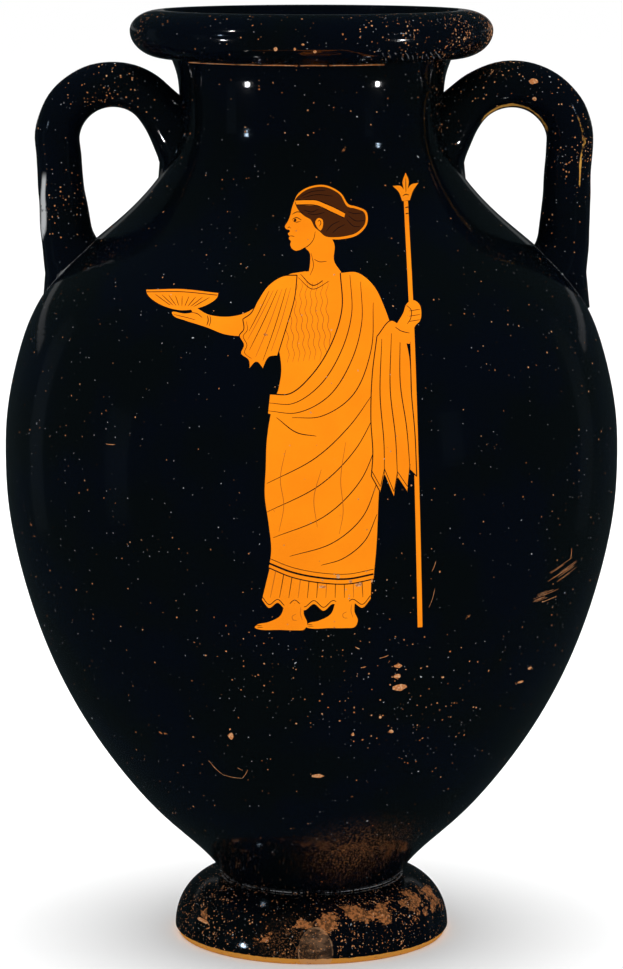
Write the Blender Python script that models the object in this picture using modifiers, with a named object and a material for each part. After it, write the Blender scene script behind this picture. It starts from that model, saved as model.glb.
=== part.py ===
"""Red-figure amphora with a continuous curve from neck to foot and two upright round handles.

Metres, +Z up. The origin is the centre of the ring that the foot stands on, and the handles lie
along X. The body, neck, lip, foot and both handles are one fired piece, so they are one solid.
"""

import math

import bpy
import bmesh

# Overall sizes of the turned body. A drop is measured down from the rim
HEIGHT = 0.415
BELLY_RADIUS = 0.1361
BELLY_HEIGHT = 0.218
NECK_RADIUS = 0.0581
NECK_DROP = 0.037
WALL = 0.006

# Lip
LIP_RADIUS = 0.0797
LIP_DROP = 0.021
LIP_SHOULDER = 0.009
LIP_THROAT = 0.0616
LIP_CREST_RADIUS = 0.0662
MOUTH_RADIUS = 0.0642
MOUTH_FUNNEL = 0.026

# Foot
FOOT_RADIUS = 0.0618
FOOT_HEIGHT = 0.0265
FOOT_EDGE_HEIGHT = 0.003
FOOT_BASE_RADIUS = 0.0603
FOOT_TOP_RADIUS = 0.0413
JOINT_RADIUS = 0.0397
JOINT_GROOVE = 0.0006
FLOOR_THICKNESS = 0.012
BOWL_RISE = 0.003
RING_WIDTH = 0.012
HOLLOW_HEIGHT = 0.021
HOLLOW_TOP_RADIUS = 0.022

# Handles, measured along their centre line
HANDLE_RADIUS_LEFT = 0.0099
HANDLE_RADIUS_RIGHT = 0.0103
HANDLE_TOP_DROP = 0.0326
HANDLE_BEND = 0.0246
HANDLE_MIDDLE_LEFT = 0.0293
HANDLE_MIDDLE_RIGHT = 0.0302
UPPER_ROOT_DROP = 0.065
UPPER_ROOT_SINK = 0.0052
LOWER_ROOT_DROP = 0.115
LOWER_ROOT_SINK_LEFT = 0.0052
LOWER_ROOT_SINK_RIGHT = 0.0007
OVERHANG_LEFT = 0.0062
OVERHANG_RIGHT = 0.0037
LOWER_ROOT_RADIUS_LEFT = 0.01208
LOWER_ROOT_RADIUS_RIGHT = 0.01164
FLARE_LENGTH = 0.048
ROOT_DEPTH = 0.016

# The free curve of the wall, as (share of the rise, share of the widening) from joint to belly
LOWER_BODY = (
    (0.034, 0.044),
    (0.081, 0.129),
    (0.149, 0.277),
    (0.253, 0.463),
    (0.384, 0.644),
    (0.540, 0.802),
    (0.723, 0.924),
    (0.906, 0.992),
)
# The same from belly to neck, as shares of the rise and of the narrowing
SHOULDER = (
    (0.103, 0.007),
    (0.285, 0.078),
    (0.436, 0.204),
    (0.558, 0.415),
    (0.667, 0.679),
    (0.758, 0.857),
    (0.861, 0.980),
)
# Where the neck begins to flare to the lip, as shares of the rise and of the flare
NECK_FLARE = (0.56, 0.31)
# The funnel inside the mouth, as shares of its width and of its depth from the rim
FUNNEL_BULGE = (0.42, 0.45)
# The arch of a handle in degrees, from its neck side over the top to its outer side
ARCH_START = 146
ARCH_END = -8
# The knee above a lower root, as shares of the way across and down from the arch
KNEE = (0.50, 0.62)

# Facets
TURNED_STEPS = 60
NECK_POINTS = 4
BODY_POINTS = 21
INNER_POINTS = 12
LIP_POINTS = 5
FOOT_POINTS = 6
ARCH_POINTS = 14
HANDLE_SIDES_RESOLUTION = 6
HANDLE_POINTS = 26
FINE = 240
SLOPE_STEP = 0.0005
MERGE = 0.00001

GLOSS_COLOUR = (0.008, 0.009, 0.011, 1.0)
GLOSS_ROUGHNESS = 0.22


def between(low, high, share):
    return low + (high - low) * share


def share_of_way(start, end, shares):
    """The point that lies these shares of the way from start to end, along each axis."""
    return tuple(between(a, b, share) for a, b, share in zip(start, end, shares))


def natural_spline(stations):
    """A smooth curve through (x, y) stations, as a function that gives y at x."""
    xs = [s[0] for s in stations]
    ys = [s[1] for s in stations]
    n = len(xs)
    gaps = [xs[i + 1] - xs[i] for i in range(n - 1)]
    slopes = [(ys[i + 1] - ys[i]) / gaps[i] for i in range(n - 1)]
    bend = [0.0] * n
    upper = [0.0] * n
    right = [0.0] * n
    for i in range(1, n - 1):
        pivot = 2 * (gaps[i - 1] + gaps[i]) - gaps[i - 1] * upper[i - 1]
        upper[i] = gaps[i] / pivot
        right[i] = (6 * (slopes[i] - slopes[i - 1]) - gaps[i - 1] * right[i - 1]) / pivot
    for i in range(n - 2, 0, -1):
        bend[i] = right[i] - upper[i] * bend[i + 1]

    def value(x):
        i = max(0, min(n - 2, sum(1 for k in xs if k <= x) - 1))
        a, b, h = xs[i + 1] - x, x - xs[i], gaps[i]
        cubic = (bend[i] * a**3 + bend[i + 1] * b**3) / (6 * h)
        return cubic + (ys[i] / h - bend[i] * h / 6) * a + (ys[i + 1] / h - bend[i + 1] * h / 6) * b

    return value


def lip_underside():
    return HEIGHT - LIP_DROP


def neck_height():
    return HEIGHT - NECK_DROP


def joint_height():
    return FOOT_HEIGHT - JOINT_GROOVE


def body_stations():
    """(height, outer radius) from the joint with the foot up to the lip's underside."""
    joint = (joint_height(), JOINT_RADIUS)
    belly = (BELLY_HEIGHT, BELLY_RADIUS)
    neck = (neck_height(), NECK_RADIUS)
    throat = (lip_underside(), LIP_THROAT)
    stations = [joint]
    stations += [share_of_way(joint, belly, shares) for shares in LOWER_BODY]
    stations += [belly]
    stations += [share_of_way(belly, neck, shares) for shares in SHOULDER]
    stations += [neck, share_of_way(neck, throat, NECK_FLARE), throat]
    return stations


OUTER_RADIUS = natural_spline(body_stations())


def wall_point(height, depth):
    """The point that lies depth inside the outer surface, square to it, at this outer height."""
    above = OUTER_RADIUS(height + SLOPE_STEP)
    below = OUTER_RADIUS(height - SLOPE_STEP)
    slope = (above - below) / (2 * SLOPE_STEP)
    length = math.hypot(1.0, slope)
    return (OUTER_RADIUS(height) - depth / length, height + depth * slope / length)


def evenly(points, count):
    """The same line drawn with count points that are evenly spaced along it."""
    travelled = [0.0]
    for a, b in zip(points, points[1:]):
        travelled.append(travelled[-1] + math.dist(a, b))
    made = []
    for k in range(count):
        goal = travelled[-1] * k / (count - 1)
        i = min(len(points) - 2, sum(1 for t in travelled[1:] if t < goal))
        share = (goal - travelled[i]) / (travelled[i + 1] - travelled[i])
        made.append(tuple(between(p, q, share) for p, q in zip(points[i], points[i + 1])))
    return made


def quarter(centre, half_width, half_height, start, end, count):
    """Points on an ellipse about centre, from start to end in degrees."""
    made = []
    for k in range(count):
        angle = math.radians(between(start, end, k / (count - 1)))
        made.append(
            (centre[0] + half_width * math.cos(angle), centre[1] + half_height * math.sin(angle))
        )
    return made


def floor_height():
    return HOLLOW_HEIGHT + FLOOR_THICKNESS


def inner_wall(depth, lowest):
    """The wall's surface at this depth, from the height lowest up to the neck, with many points."""
    heights = [between(joint_height(), neck_height(), k / FINE) for k in range(FINE + 1)]
    line = [wall_point(h, depth) for h in heights]
    return [p for p in line if p[1] > lowest]


def cavity_line():
    """The inside, from the middle of the floor up to the neck."""
    line = inner_wall(WALL, floor_height() + BOWL_RISE)
    return [(0.0, floor_height())] + evenly(line, INNER_POINTS)


def lip_line():
    """Over the lip, from the funnel inside the mouth to the underside outside."""
    funnel_foot = (NECK_RADIUS - WALL, HEIGHT - MOUTH_FUNNEL)
    width_share, depth_share = FUNNEL_BULGE
    funnel_bulge = (
        between(funnel_foot[0], MOUTH_RADIUS, width_share),
        between(HEIGHT, funnel_foot[1], depth_share),
    )
    inner_edge = (MOUTH_RADIUS, HEIGHT - (LIP_CREST_RADIUS - MOUTH_RADIUS) / 2)
    top = quarter(
        (LIP_CREST_RADIUS, HEIGHT - LIP_SHOULDER),
        LIP_RADIUS - LIP_CREST_RADIUS,
        LIP_SHOULDER,
        90,
        0,
        LIP_POINTS,
    )
    under_centre = LIP_THROAT + (LIP_CREST_RADIUS - LIP_THROAT) / 2
    under = quarter(
        (under_centre, HEIGHT - LIP_SHOULDER),
        LIP_RADIUS - under_centre,
        LIP_DROP - LIP_SHOULDER,
        0,
        -90,
        LIP_POINTS + 1,
    )
    return [funnel_foot, funnel_bulge, inner_edge] + top + under[1:]


def outer_line():
    """The outside of neck and body, from the lip's underside down to the foot."""
    neck = [between(lip_underside(), neck_height(), k / NECK_POINTS) for k in range(NECK_POINTS)]
    body = [between(neck_height(), joint_height(), k / FINE) for k in range(FINE + 1)]
    line = evenly([(OUTER_RADIUS(h), h) for h in body], BODY_POINTS)
    return [(OUTER_RADIUS(h), h) for h in neck] + line


def foot_line():
    """The foot, from its rounded top down to the ring it stands on and up into its hollow."""
    top = quarter(
        (FOOT_TOP_RADIUS, FOOT_EDGE_HEIGHT),
        FOOT_RADIUS - FOOT_TOP_RADIUS,
        FOOT_HEIGHT - FOOT_EDGE_HEIGHT,
        90,
        0,
        FOOT_POINTS,
    )
    ring = [(FOOT_BASE_RADIUS, 0.0), (FOOT_BASE_RADIUS - RING_WIDTH, 0.0)]
    return top + ring + [(HOLLOW_TOP_RADIUS, HOLLOW_HEIGHT), (0.0, HOLLOW_HEIGHT)]


def turned(name, line, collection):
    """A closed solid made by turning a line of (radius, height) points about Z."""
    mesh = bpy.data.meshes.new(name)
    edges = [(i, i + 1) for i in range(len(line) - 1)]
    mesh.from_pydata([(r, 0.0, z) for r, z in line], edges, [])
    made = bpy.data.objects.new(name, mesh)
    collection.objects.link(made)
    screw = made.modifiers.new("Turn", "SCREW")
    screw.axis = "Z"
    screw.steps = TURNED_STEPS
    screw.render_steps = TURNED_STEPS
    screw.use_merge_vertices = True
    screw.merge_threshold = MERGE
    screw.use_smooth_shade = True
    return made


class Handle:
    """The sizes of one handle, at side -1 (left) or +1 (right) along X."""

    def __init__(self, name, side, radius, middle, sink, overhang, lower_radius):
        self.name = name
        self.side = side
        self.radius = radius
        self.middle = NECK_RADIUS + middle
        self.flare = lower_radius / radius
        upper_height = HEIGHT - UPPER_ROOT_DROP
        lower_height = HEIGHT - LOWER_ROOT_DROP
        self.upper = (OUTER_RADIUS(upper_height) - UPPER_ROOT_SINK, upper_height)
        self.lower = (OUTER_RADIUS(lower_height) - sink, lower_height)
        self.reach = self.lower[0] + overhang

    def points(self):
        """(distance from the axis, height) where the centre line passes, from neck to shoulder."""
        centre = (self.middle, HEIGHT - HANDLE_TOP_DROP - HANDLE_BEND)
        half_width = self.reach - self.middle
        arch = quarter(centre, half_width, HANDLE_BEND, ARCH_START, ARCH_END, ARCH_POINTS)
        return [self.upper] + arch + [share_of_way(arch[-1], self.lower, KNEE), self.lower]

    def path(self):
        """(distance from the axis, height, thickness factor), smooth, with both ends buried."""
        points = self.points()
        travelled = [0.0]
        for a, b in zip(points, points[1:]):
            travelled.append(travelled[-1] + math.dist(a, b))
        across = natural_spline(list(zip(travelled, [p[0] for p in points])))
        along = natural_spline(list(zip(travelled, [p[1] for p in points])))
        length = travelled[-1]
        path = [(self.upper[0], self.upper[1] - ROOT_DEPTH, 1.0)]
        for k in range(HANDLE_POINTS):
            t = length * k / (HANDLE_POINTS - 1)
            near = max(0.0, 1.0 - (length - t) / FLARE_LENGTH)
            eased = near * near * (3.0 - 2.0 * near)
            path.append((across(t), along(t), between(1.0, self.flare, eased)))
        path.append((self.lower[0], self.lower[1] - ROOT_DEPTH, self.flare))
        return path


def both_handles():
    return (
        Handle(
            "handle_left",
            -1,
            HANDLE_RADIUS_LEFT,
            HANDLE_MIDDLE_LEFT,
            LOWER_ROOT_SINK_LEFT,
            OVERHANG_LEFT,
            LOWER_ROOT_RADIUS_LEFT,
        ),
        Handle(
            "handle_right",
            1,
            HANDLE_RADIUS_RIGHT,
            HANDLE_MIDDLE_RIGHT,
            LOWER_ROOT_SINK_RIGHT,
            OVERHANG_RIGHT,
            LOWER_ROOT_RADIUS_RIGHT,
        ),
    )


def handle_tube(handle, collection):
    """One round handle as a mesh, with its ends inside the body."""
    curve = bpy.data.curves.new(handle.name, "CURVE")
    curve.dimensions = "3D"
    curve.bevel_depth = handle.radius
    curve.bevel_resolution = HANDLE_SIDES_RESOLUTION
    curve.use_fill_caps = True
    path = handle.path()
    spline = curve.splines.new("POLY")
    spline.points.add(len(path) - 1)
    for point, (across, height, factor) in zip(spline.points, path):
        point.co = (handle.side * across, 0.0, height, 1.0)
        point.radius = factor
    drawn = bpy.data.objects.new(handle.name + "_curve", curve)
    collection.objects.link(drawn)
    bpy.context.view_layer.update()
    evaluated = drawn.evaluated_get(bpy.context.evaluated_depsgraph_get())
    mesh = bpy.data.meshes.new_from_object(evaluated)
    welded = bmesh.new()
    welded.from_mesh(mesh)
    bmesh.ops.remove_doubles(welded, verts=welded.verts, dist=MERGE)
    bmesh.ops.recalc_face_normals(welded, faces=welded.faces)
    welded.to_mesh(mesh)
    welded.free()
    made = bpy.data.objects.new(handle.name, mesh)
    made.matrix_world = drawn.matrix_world
    collection.objects.link(made)
    bpy.data.objects.remove(drawn)
    return made


def wall_core(collection):
    """The vessel's inside up to half way into the wall, which trims the handles' buried ends."""
    half_way = inner_wall(WALL / 2, floor_height())
    line = evenly(half_way, BODY_POINTS)
    line = [(0.0, line[0][1])] + line + [(0.0, line[-1][1])]
    line.reverse()
    return turned("wall_core", line, collection)


def join(target, other, operation):
    boolean = target.modifiers.new(operation.title() + "_" + other.name, "BOOLEAN")
    boolean.operation = operation
    boolean.solver = "EXACT"
    boolean.object = other


def gloss():
    material = bpy.data.materials.new("black_gloss")
    material.use_nodes = True
    shader = material.node_tree.nodes["Principled BSDF"]
    shader.inputs["Base Color"].default_value = GLOSS_COLOUR
    shader.inputs["Roughness"].default_value = GLOSS_ROUGHNESS
    shader.inputs["Metallic"].default_value = 0.0
    return material


def hide(cutter):
    cutter.hide_render = True
    cutter.display_type = "WIRE"


def clear_scene():
    for old in list(bpy.data.objects):
        bpy.data.objects.remove(old)


def build_amphora():
    clear_scene()
    parts = bpy.data.collections.new("red_figure_amphora")
    cutters = bpy.data.collections.new("cutters")
    bpy.context.scene.collection.children.link(parts)
    bpy.context.scene.collection.children.link(cutters)

    profile = cavity_line() + lip_line() + outer_line()[1:] + foot_line()
    amphora = turned("amphora", profile, parts)
    amphora.data.materials.append(gloss())
    core = wall_core(cutters)
    hide(core)
    for handle in both_handles():
        tube = handle_tube(handle, cutters)
        join(tube, core, "DIFFERENCE")
        join(amphora, tube, "UNION")
        hide(tube)
    return amphora


build_amphora()
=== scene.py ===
"""Looks of a red-figure amphora: one turned, handled and painted piece on a pale floor.

Metres, +Z up. The handles lie along X and the main painted side looks along -Y. The wall is cut
from a flat sheet along every painted edge, and a node tree turns the sheet round the axis.
"""

import math
import random

import bpy
import numpy as np
from bpy.props import FloatProperty, FloatVectorProperty, IntProperty, PointerProperty
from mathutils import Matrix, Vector
from mathutils.geometry import delaunay_2d_cdt


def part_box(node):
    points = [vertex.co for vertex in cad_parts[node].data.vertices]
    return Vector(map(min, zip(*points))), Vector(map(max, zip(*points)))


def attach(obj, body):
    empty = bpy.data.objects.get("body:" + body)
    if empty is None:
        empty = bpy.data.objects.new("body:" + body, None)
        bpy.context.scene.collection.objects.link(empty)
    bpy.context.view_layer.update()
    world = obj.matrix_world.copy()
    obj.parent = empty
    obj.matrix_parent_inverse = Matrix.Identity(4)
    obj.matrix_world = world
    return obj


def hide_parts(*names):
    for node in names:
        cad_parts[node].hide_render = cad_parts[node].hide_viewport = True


bl_info = {
    "name": "Red-figure amphora",
    "version": (1, 0, 0),
    "blender": (4, 5, 0),
    "location": "View3D > Sidebar > Amphora",
    "description": "Shapes, paints and lights a red-figure amphora round its fixed frame",
    "category": "Add Mesh",
}

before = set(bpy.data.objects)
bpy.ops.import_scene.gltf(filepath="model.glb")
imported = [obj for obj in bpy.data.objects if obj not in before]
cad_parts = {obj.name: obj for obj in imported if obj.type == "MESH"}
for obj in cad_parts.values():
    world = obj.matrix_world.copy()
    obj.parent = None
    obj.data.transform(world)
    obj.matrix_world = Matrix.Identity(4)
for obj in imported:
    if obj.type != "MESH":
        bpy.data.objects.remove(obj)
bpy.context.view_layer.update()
LOWEST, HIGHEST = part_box("amphora")

# The free curve of the wall, as (share of the rise, share of the widening) from joint to belly
LOWER_BODY = (
    (0.034, 0.044), (0.081, 0.129), (0.149, 0.277), (0.253, 0.463), (0.384, 0.644), (0.540, 0.802),
    (0.723, 0.924), (0.906, 0.992),
)
# The same from belly to neck, as shares of the rise and of the narrowing
SHOULDER = (
    (0.103, 0.007), (0.285, 0.078), (0.436, 0.204), (0.558, 0.415), (0.667, 0.679), (0.758, 0.857),
    (0.861, 0.980),
)
# Where the neck begins to flare to the lip, as shares of the rise and of the flare
NECK_FLARE = (0.56, 0.31)
# The funnel inside the mouth, as shares of its width and of its depth from the rim
FUNNEL_BULGE = (0.42, 0.45)
# The arch of a handle in degrees, from its neck side over the top to its outer side
ARCH_START = 146
ARCH_END = -8
ARCH_POINTS = 14
# The knee above a lower root, as shares of the way across and down from the arch
KNEE = (0.50, 0.62)

# Fineness of the surface: points of a smooth line and of an arc, how far in metres a row may leave the
# curve and how long it may be, the distance within which points are welded, and the angle of a crease
FINE = 480
ARC_POINTS = 24
CHORD_ERROR = 0.00002
LONGEST_ROW = 0.0055
WELD = 0.000001
CREASE = math.radians(38)
# The angle round the axis where the two ends of the sheet meet
SEAM = -math.pi / 2
# How fast the rolled clay of a handle wanders, in radians a metre
WANDER = 160.0

# Paints, and what each sets on a face: reserved clay, wash of thin slip, chipped away
CLAY = "clay"
GLOSS = "gloss"
BROWN = "brown"
HAIR = "hair"
CHIP = "chip"
PAINTS = {CLAY: (1, 0, 0), GLOSS: (0, 0, 0), BROWN: (1, 0.5, 0), HAIR: (1, 1, 0), CHIP: (0, 0, 1)}
FACE_MARKS = ("reserved", "wash", "chipped", "bare", "wall")

# The painting's measures are millimetres: widths of brush lines, the step along a smooth line, and how
# near two cuts may lie before they become one
MM = 1000.0
RELIEF = 0.42
MIDDLE_LINE = 0.34
THIN_LINE = 0.30
HAIR_LINE = 0.28
FINE_LINE = 0.26
SMOOTH_STEP = 0.8
CUT_ERROR = 0.004


def length(name, description, default):
    return FloatProperty(name=name, description=description, default=default, unit="LENGTH", precision=4)


def pair(name, description, default):
    return FloatVectorProperty(
        name=name, description=description, default=default, size=2, unit="LENGTH", precision=4
    )


def colour(name, description, default):
    return FloatVectorProperty(
        name=name, description=description, default=default, size=3, subtype="COLOR", min=0, max=1
    )


class TurnedSizes(bpy.types.PropertyGroup):
    """Sizes of what is turned on the wheel. A drop is measured down from the rim."""

    height: length("Height", "From the standing ring to the rim", HIGHEST.z - LOWEST.z)
    belly_radius: length("Belly radius", "Outer radius where the body is widest", 0.1361)
    belly_height: length("Belly height", "Height where the body is widest", 0.218)
    neck_radius: length("Neck radius", "Outer radius where the neck is narrowest", 0.0581)
    neck_drop: length("Neck drop", "Where the neck is narrowest", 0.037)
    wall: length("Wall", "Thickness of the body's wall", 0.006)
    lip_radius: length("Lip radius", "Outer radius of the lip", 0.0797)
    lip_drop: length("Lip drop", "Height of the lip", 0.021)
    lip_shoulder: length("Lip shoulder", "Height of the lip's rounded top", 0.009)
    lip_throat: length("Lip throat", "Outer radius of the neck under the lip", 0.0616)
    lip_crest: length("Lip crest", "Radius where the lip is highest", 0.0662)
    mouth_radius: length("Mouth radius", "Radius of the lip's inner edge", 0.0642)
    mouth_funnel: length("Mouth funnel", "Depth of the funnel inside the mouth", 0.026)
    foot_radius: length("Foot radius", "Outer radius of the foot", 0.0618)
    foot_height: length("Foot height", "Height of the foot", 0.0265)
    foot_edge: length("Foot edge", "Height where the foot is widest", 0.003)
    foot_base: length("Foot base", "Outer radius of the standing ring", 0.0603)
    foot_top: length("Foot top", "Radius where the foot's top is highest", 0.0413)
    joint_radius: length("Joint radius", "Outer radius of the body where it meets the foot", 0.0397)
    joint_groove: length("Joint groove", "Depth of the groove between body and foot", 0.0006)
    floor: length("Floor", "Thickness of the cavity's floor", 0.012)
    bowl_rise: length("Bowl rise", "Rise of the cavity's floor to its wall", 0.003)
    ring_width: length("Ring width", "Width of the standing ring", 0.012)
    hollow_height: length("Hollow height", "Height of the hollow under the foot", 0.021)
    hollow_top: length("Hollow top", "Radius of the hollow's top", 0.022)
    rounding: length("Rounding", "Radius of the worn edges of the foot", 0.0007)
    steps: IntProperty(name="Steps", description="Faces round the axis", default=192, min=48)


class HandleSizes(bpy.types.PropertyGroup):
    """Sizes of the left and the right handle, along their centre lines."""

    radius: pair("Radius", "Half the thickness", (0.0099, 0.0103))
    middle: pair("Middle", "From the neck out to the middle of the arch", (0.0293, 0.0302))
    lower_sink: pair("Lower sink", "How deep the lower root sits", (0.0052, 0.0007))
    overhang: pair("Overhang", "How far the arch reaches past the lower root", (0.0062, 0.0037))
    lower_radius: pair("Lower radius", "Half the thickness at the lower root", (0.01208, 0.01164))
    top_drop: length("Top drop", "From the rim to the top of the arch", 0.0326)
    bend: length("Bend", "Height of the arch", 0.0246)
    upper_drop: length("Upper drop", "From the rim to the upper root", 0.065)
    upper_sink: length("Upper sink", "How deep the upper root sits", 0.0052)
    lower_drop: length("Lower drop", "From the rim to the lower root", 0.115)
    flare: length("Flare", "Length over which a lower root thickens", 0.048)
    root_depth: length("Root depth", "How far a root runs on inside the wall", 0.016)
    fillet: length("Fillet", "Clay smoothed out round a root", 0.0016)
    fillet_reach: length("Fillet reach", "How far from the wall it starts", 0.006)
    unevenness: length("Unevenness", "How far the rolled clay wanders", 0.00022)
    sides: IntProperty(name="Sides", description="Faces round a handle", default=40, min=12)
    points: IntProperty(name="Points", description="Rings along a handle", default=72, min=24)


class FinishColours(bpy.types.PropertyGroup):
    """Colours and gloss of slip and clay."""

    gloss: colour("Gloss", "Black slip", (0.0010, 0.0018, 0.0022))
    gloss_blue: colour("Bluish gloss", "Black slip where it is thickest", (0.0008, 0.0016, 0.0036))
    misfired: colour("Misfired slip", "Slip that stayed brown", (0.110, 0.046, 0.017))
    thin: colour("Thin slip", "Slip rubbed thin on a handle", (0.48, 0.24, 0.045))
    clay: colour("Reserved clay", "Clay left free of slip", (0.83, 0.232, 0.005))
    clay_deep: colour("Deeper clay", "The same where it is ruddier", (0.74, 0.186, 0.004))
    band: colour("Worn band", "Clay of the foot's lower edge", (0.62, 0.27, 0.045))
    wash: colour("Brown wash", "Thinned slip of the fine lines", (0.33, 0.085, 0.008))
    hair: colour("Hair", "Slip painted over clay for hair", (0.050, 0.013, 0.003))
    chip: colour("Chip", "Fresh clay in a chip", (0.37, 0.132, 0.042))
    chip_pale: colour("Pale chip", "Rubbed clay with lime on it", (0.53, 0.29, 0.15))
    # This pale grey is dust, and also paints glints on tiny bumps among the specks and the highlights on
    # the lip's crest and along the handles' lower roots
    dust_and_highlights: colour("Dust", "Specks that sit on the slip", (0.45, 0.46, 0.47))
    core: colour("Core", "Bare clay inside and under the foot", (0.52, 0.22, 0.085))
    gloss_roughness: FloatProperty(name="Gloss roughness", description="Of the slip", default=0.07)
    clay_roughness: FloatProperty(name="Clay roughness", description="Of bare clay", default=0.62)


class StageSizes(bpy.types.PropertyGroup):
    """Camera and floor."""

    camera_distance: length("Camera distance", "From the axis to the camera", 1.667)
    camera_height: length("Camera height", "Above the floor", 0.4693)
    camera_pitch: FloatProperty(
        name="Camera pitch", description="Down from level", default=math.radians(9.036), subtype="ANGLE"
    )
    lens: FloatProperty(name="Lens", description="Focal length in millimetres", default=140.3)
    floor_size: length("Floor size", "Side of the square floor", 80.0)
    floor_colour: colour("Floor colour", "Pale matt floor", (0.95, 0.95, 0.95))


# Lines of the turned form


def between(low, high, share):
    return low + (high - low) * share


def share_of_way(start, end, shares):
    """The point that lies these shares of the way from start to end, along each axis."""
    return tuple(between(a, b, share) for a, b, share in zip(start, end, shares))


def natural_spline(stations):
    """A smooth curve through (x, y) stations, as a function that gives y at x."""
    xs, ys = np.array(stations, dtype=float).T
    gaps = np.diff(xs)
    slopes = np.diff(ys) / gaps
    last = len(xs) - 1
    matrix = np.eye(last + 1)
    right = np.zeros(last + 1)
    for i in range(1, last):
        matrix[i, i - 1 : i + 2] = (gaps[i - 1], 2 * (gaps[i - 1] + gaps[i]), gaps[i])
        right[i] = 6 * (slopes[i] - slopes[i - 1])
    bend = np.linalg.solve(matrix, right)

    def value(x):
        x = np.asarray(x, dtype=float)
        i = np.clip(np.searchsorted(xs, x, side="right") - 1, 0, last - 1)
        a, b, h = xs[i + 1] - x, x - xs[i], gaps[i]
        cubic = (bend[i] * a**3 + bend[i + 1] * b**3) / (6 * h)
        return cubic + (ys[i] / h - bend[i] * h / 6) * a + (ys[i + 1] / h - bend[i + 1] * h / 6) * b

    return value


def arc(centre, half_width, half_height, start, end, count=ARC_POINTS):
    """Points on an ellipse about centre, from start to end in degrees."""
    made = []
    for k in range(count):
        angle = math.radians(between(start, end, k / (count - 1)))
        made.append((centre[0] + half_width * math.cos(angle), centre[1] + half_height * math.sin(angle)))
    return made


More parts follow.
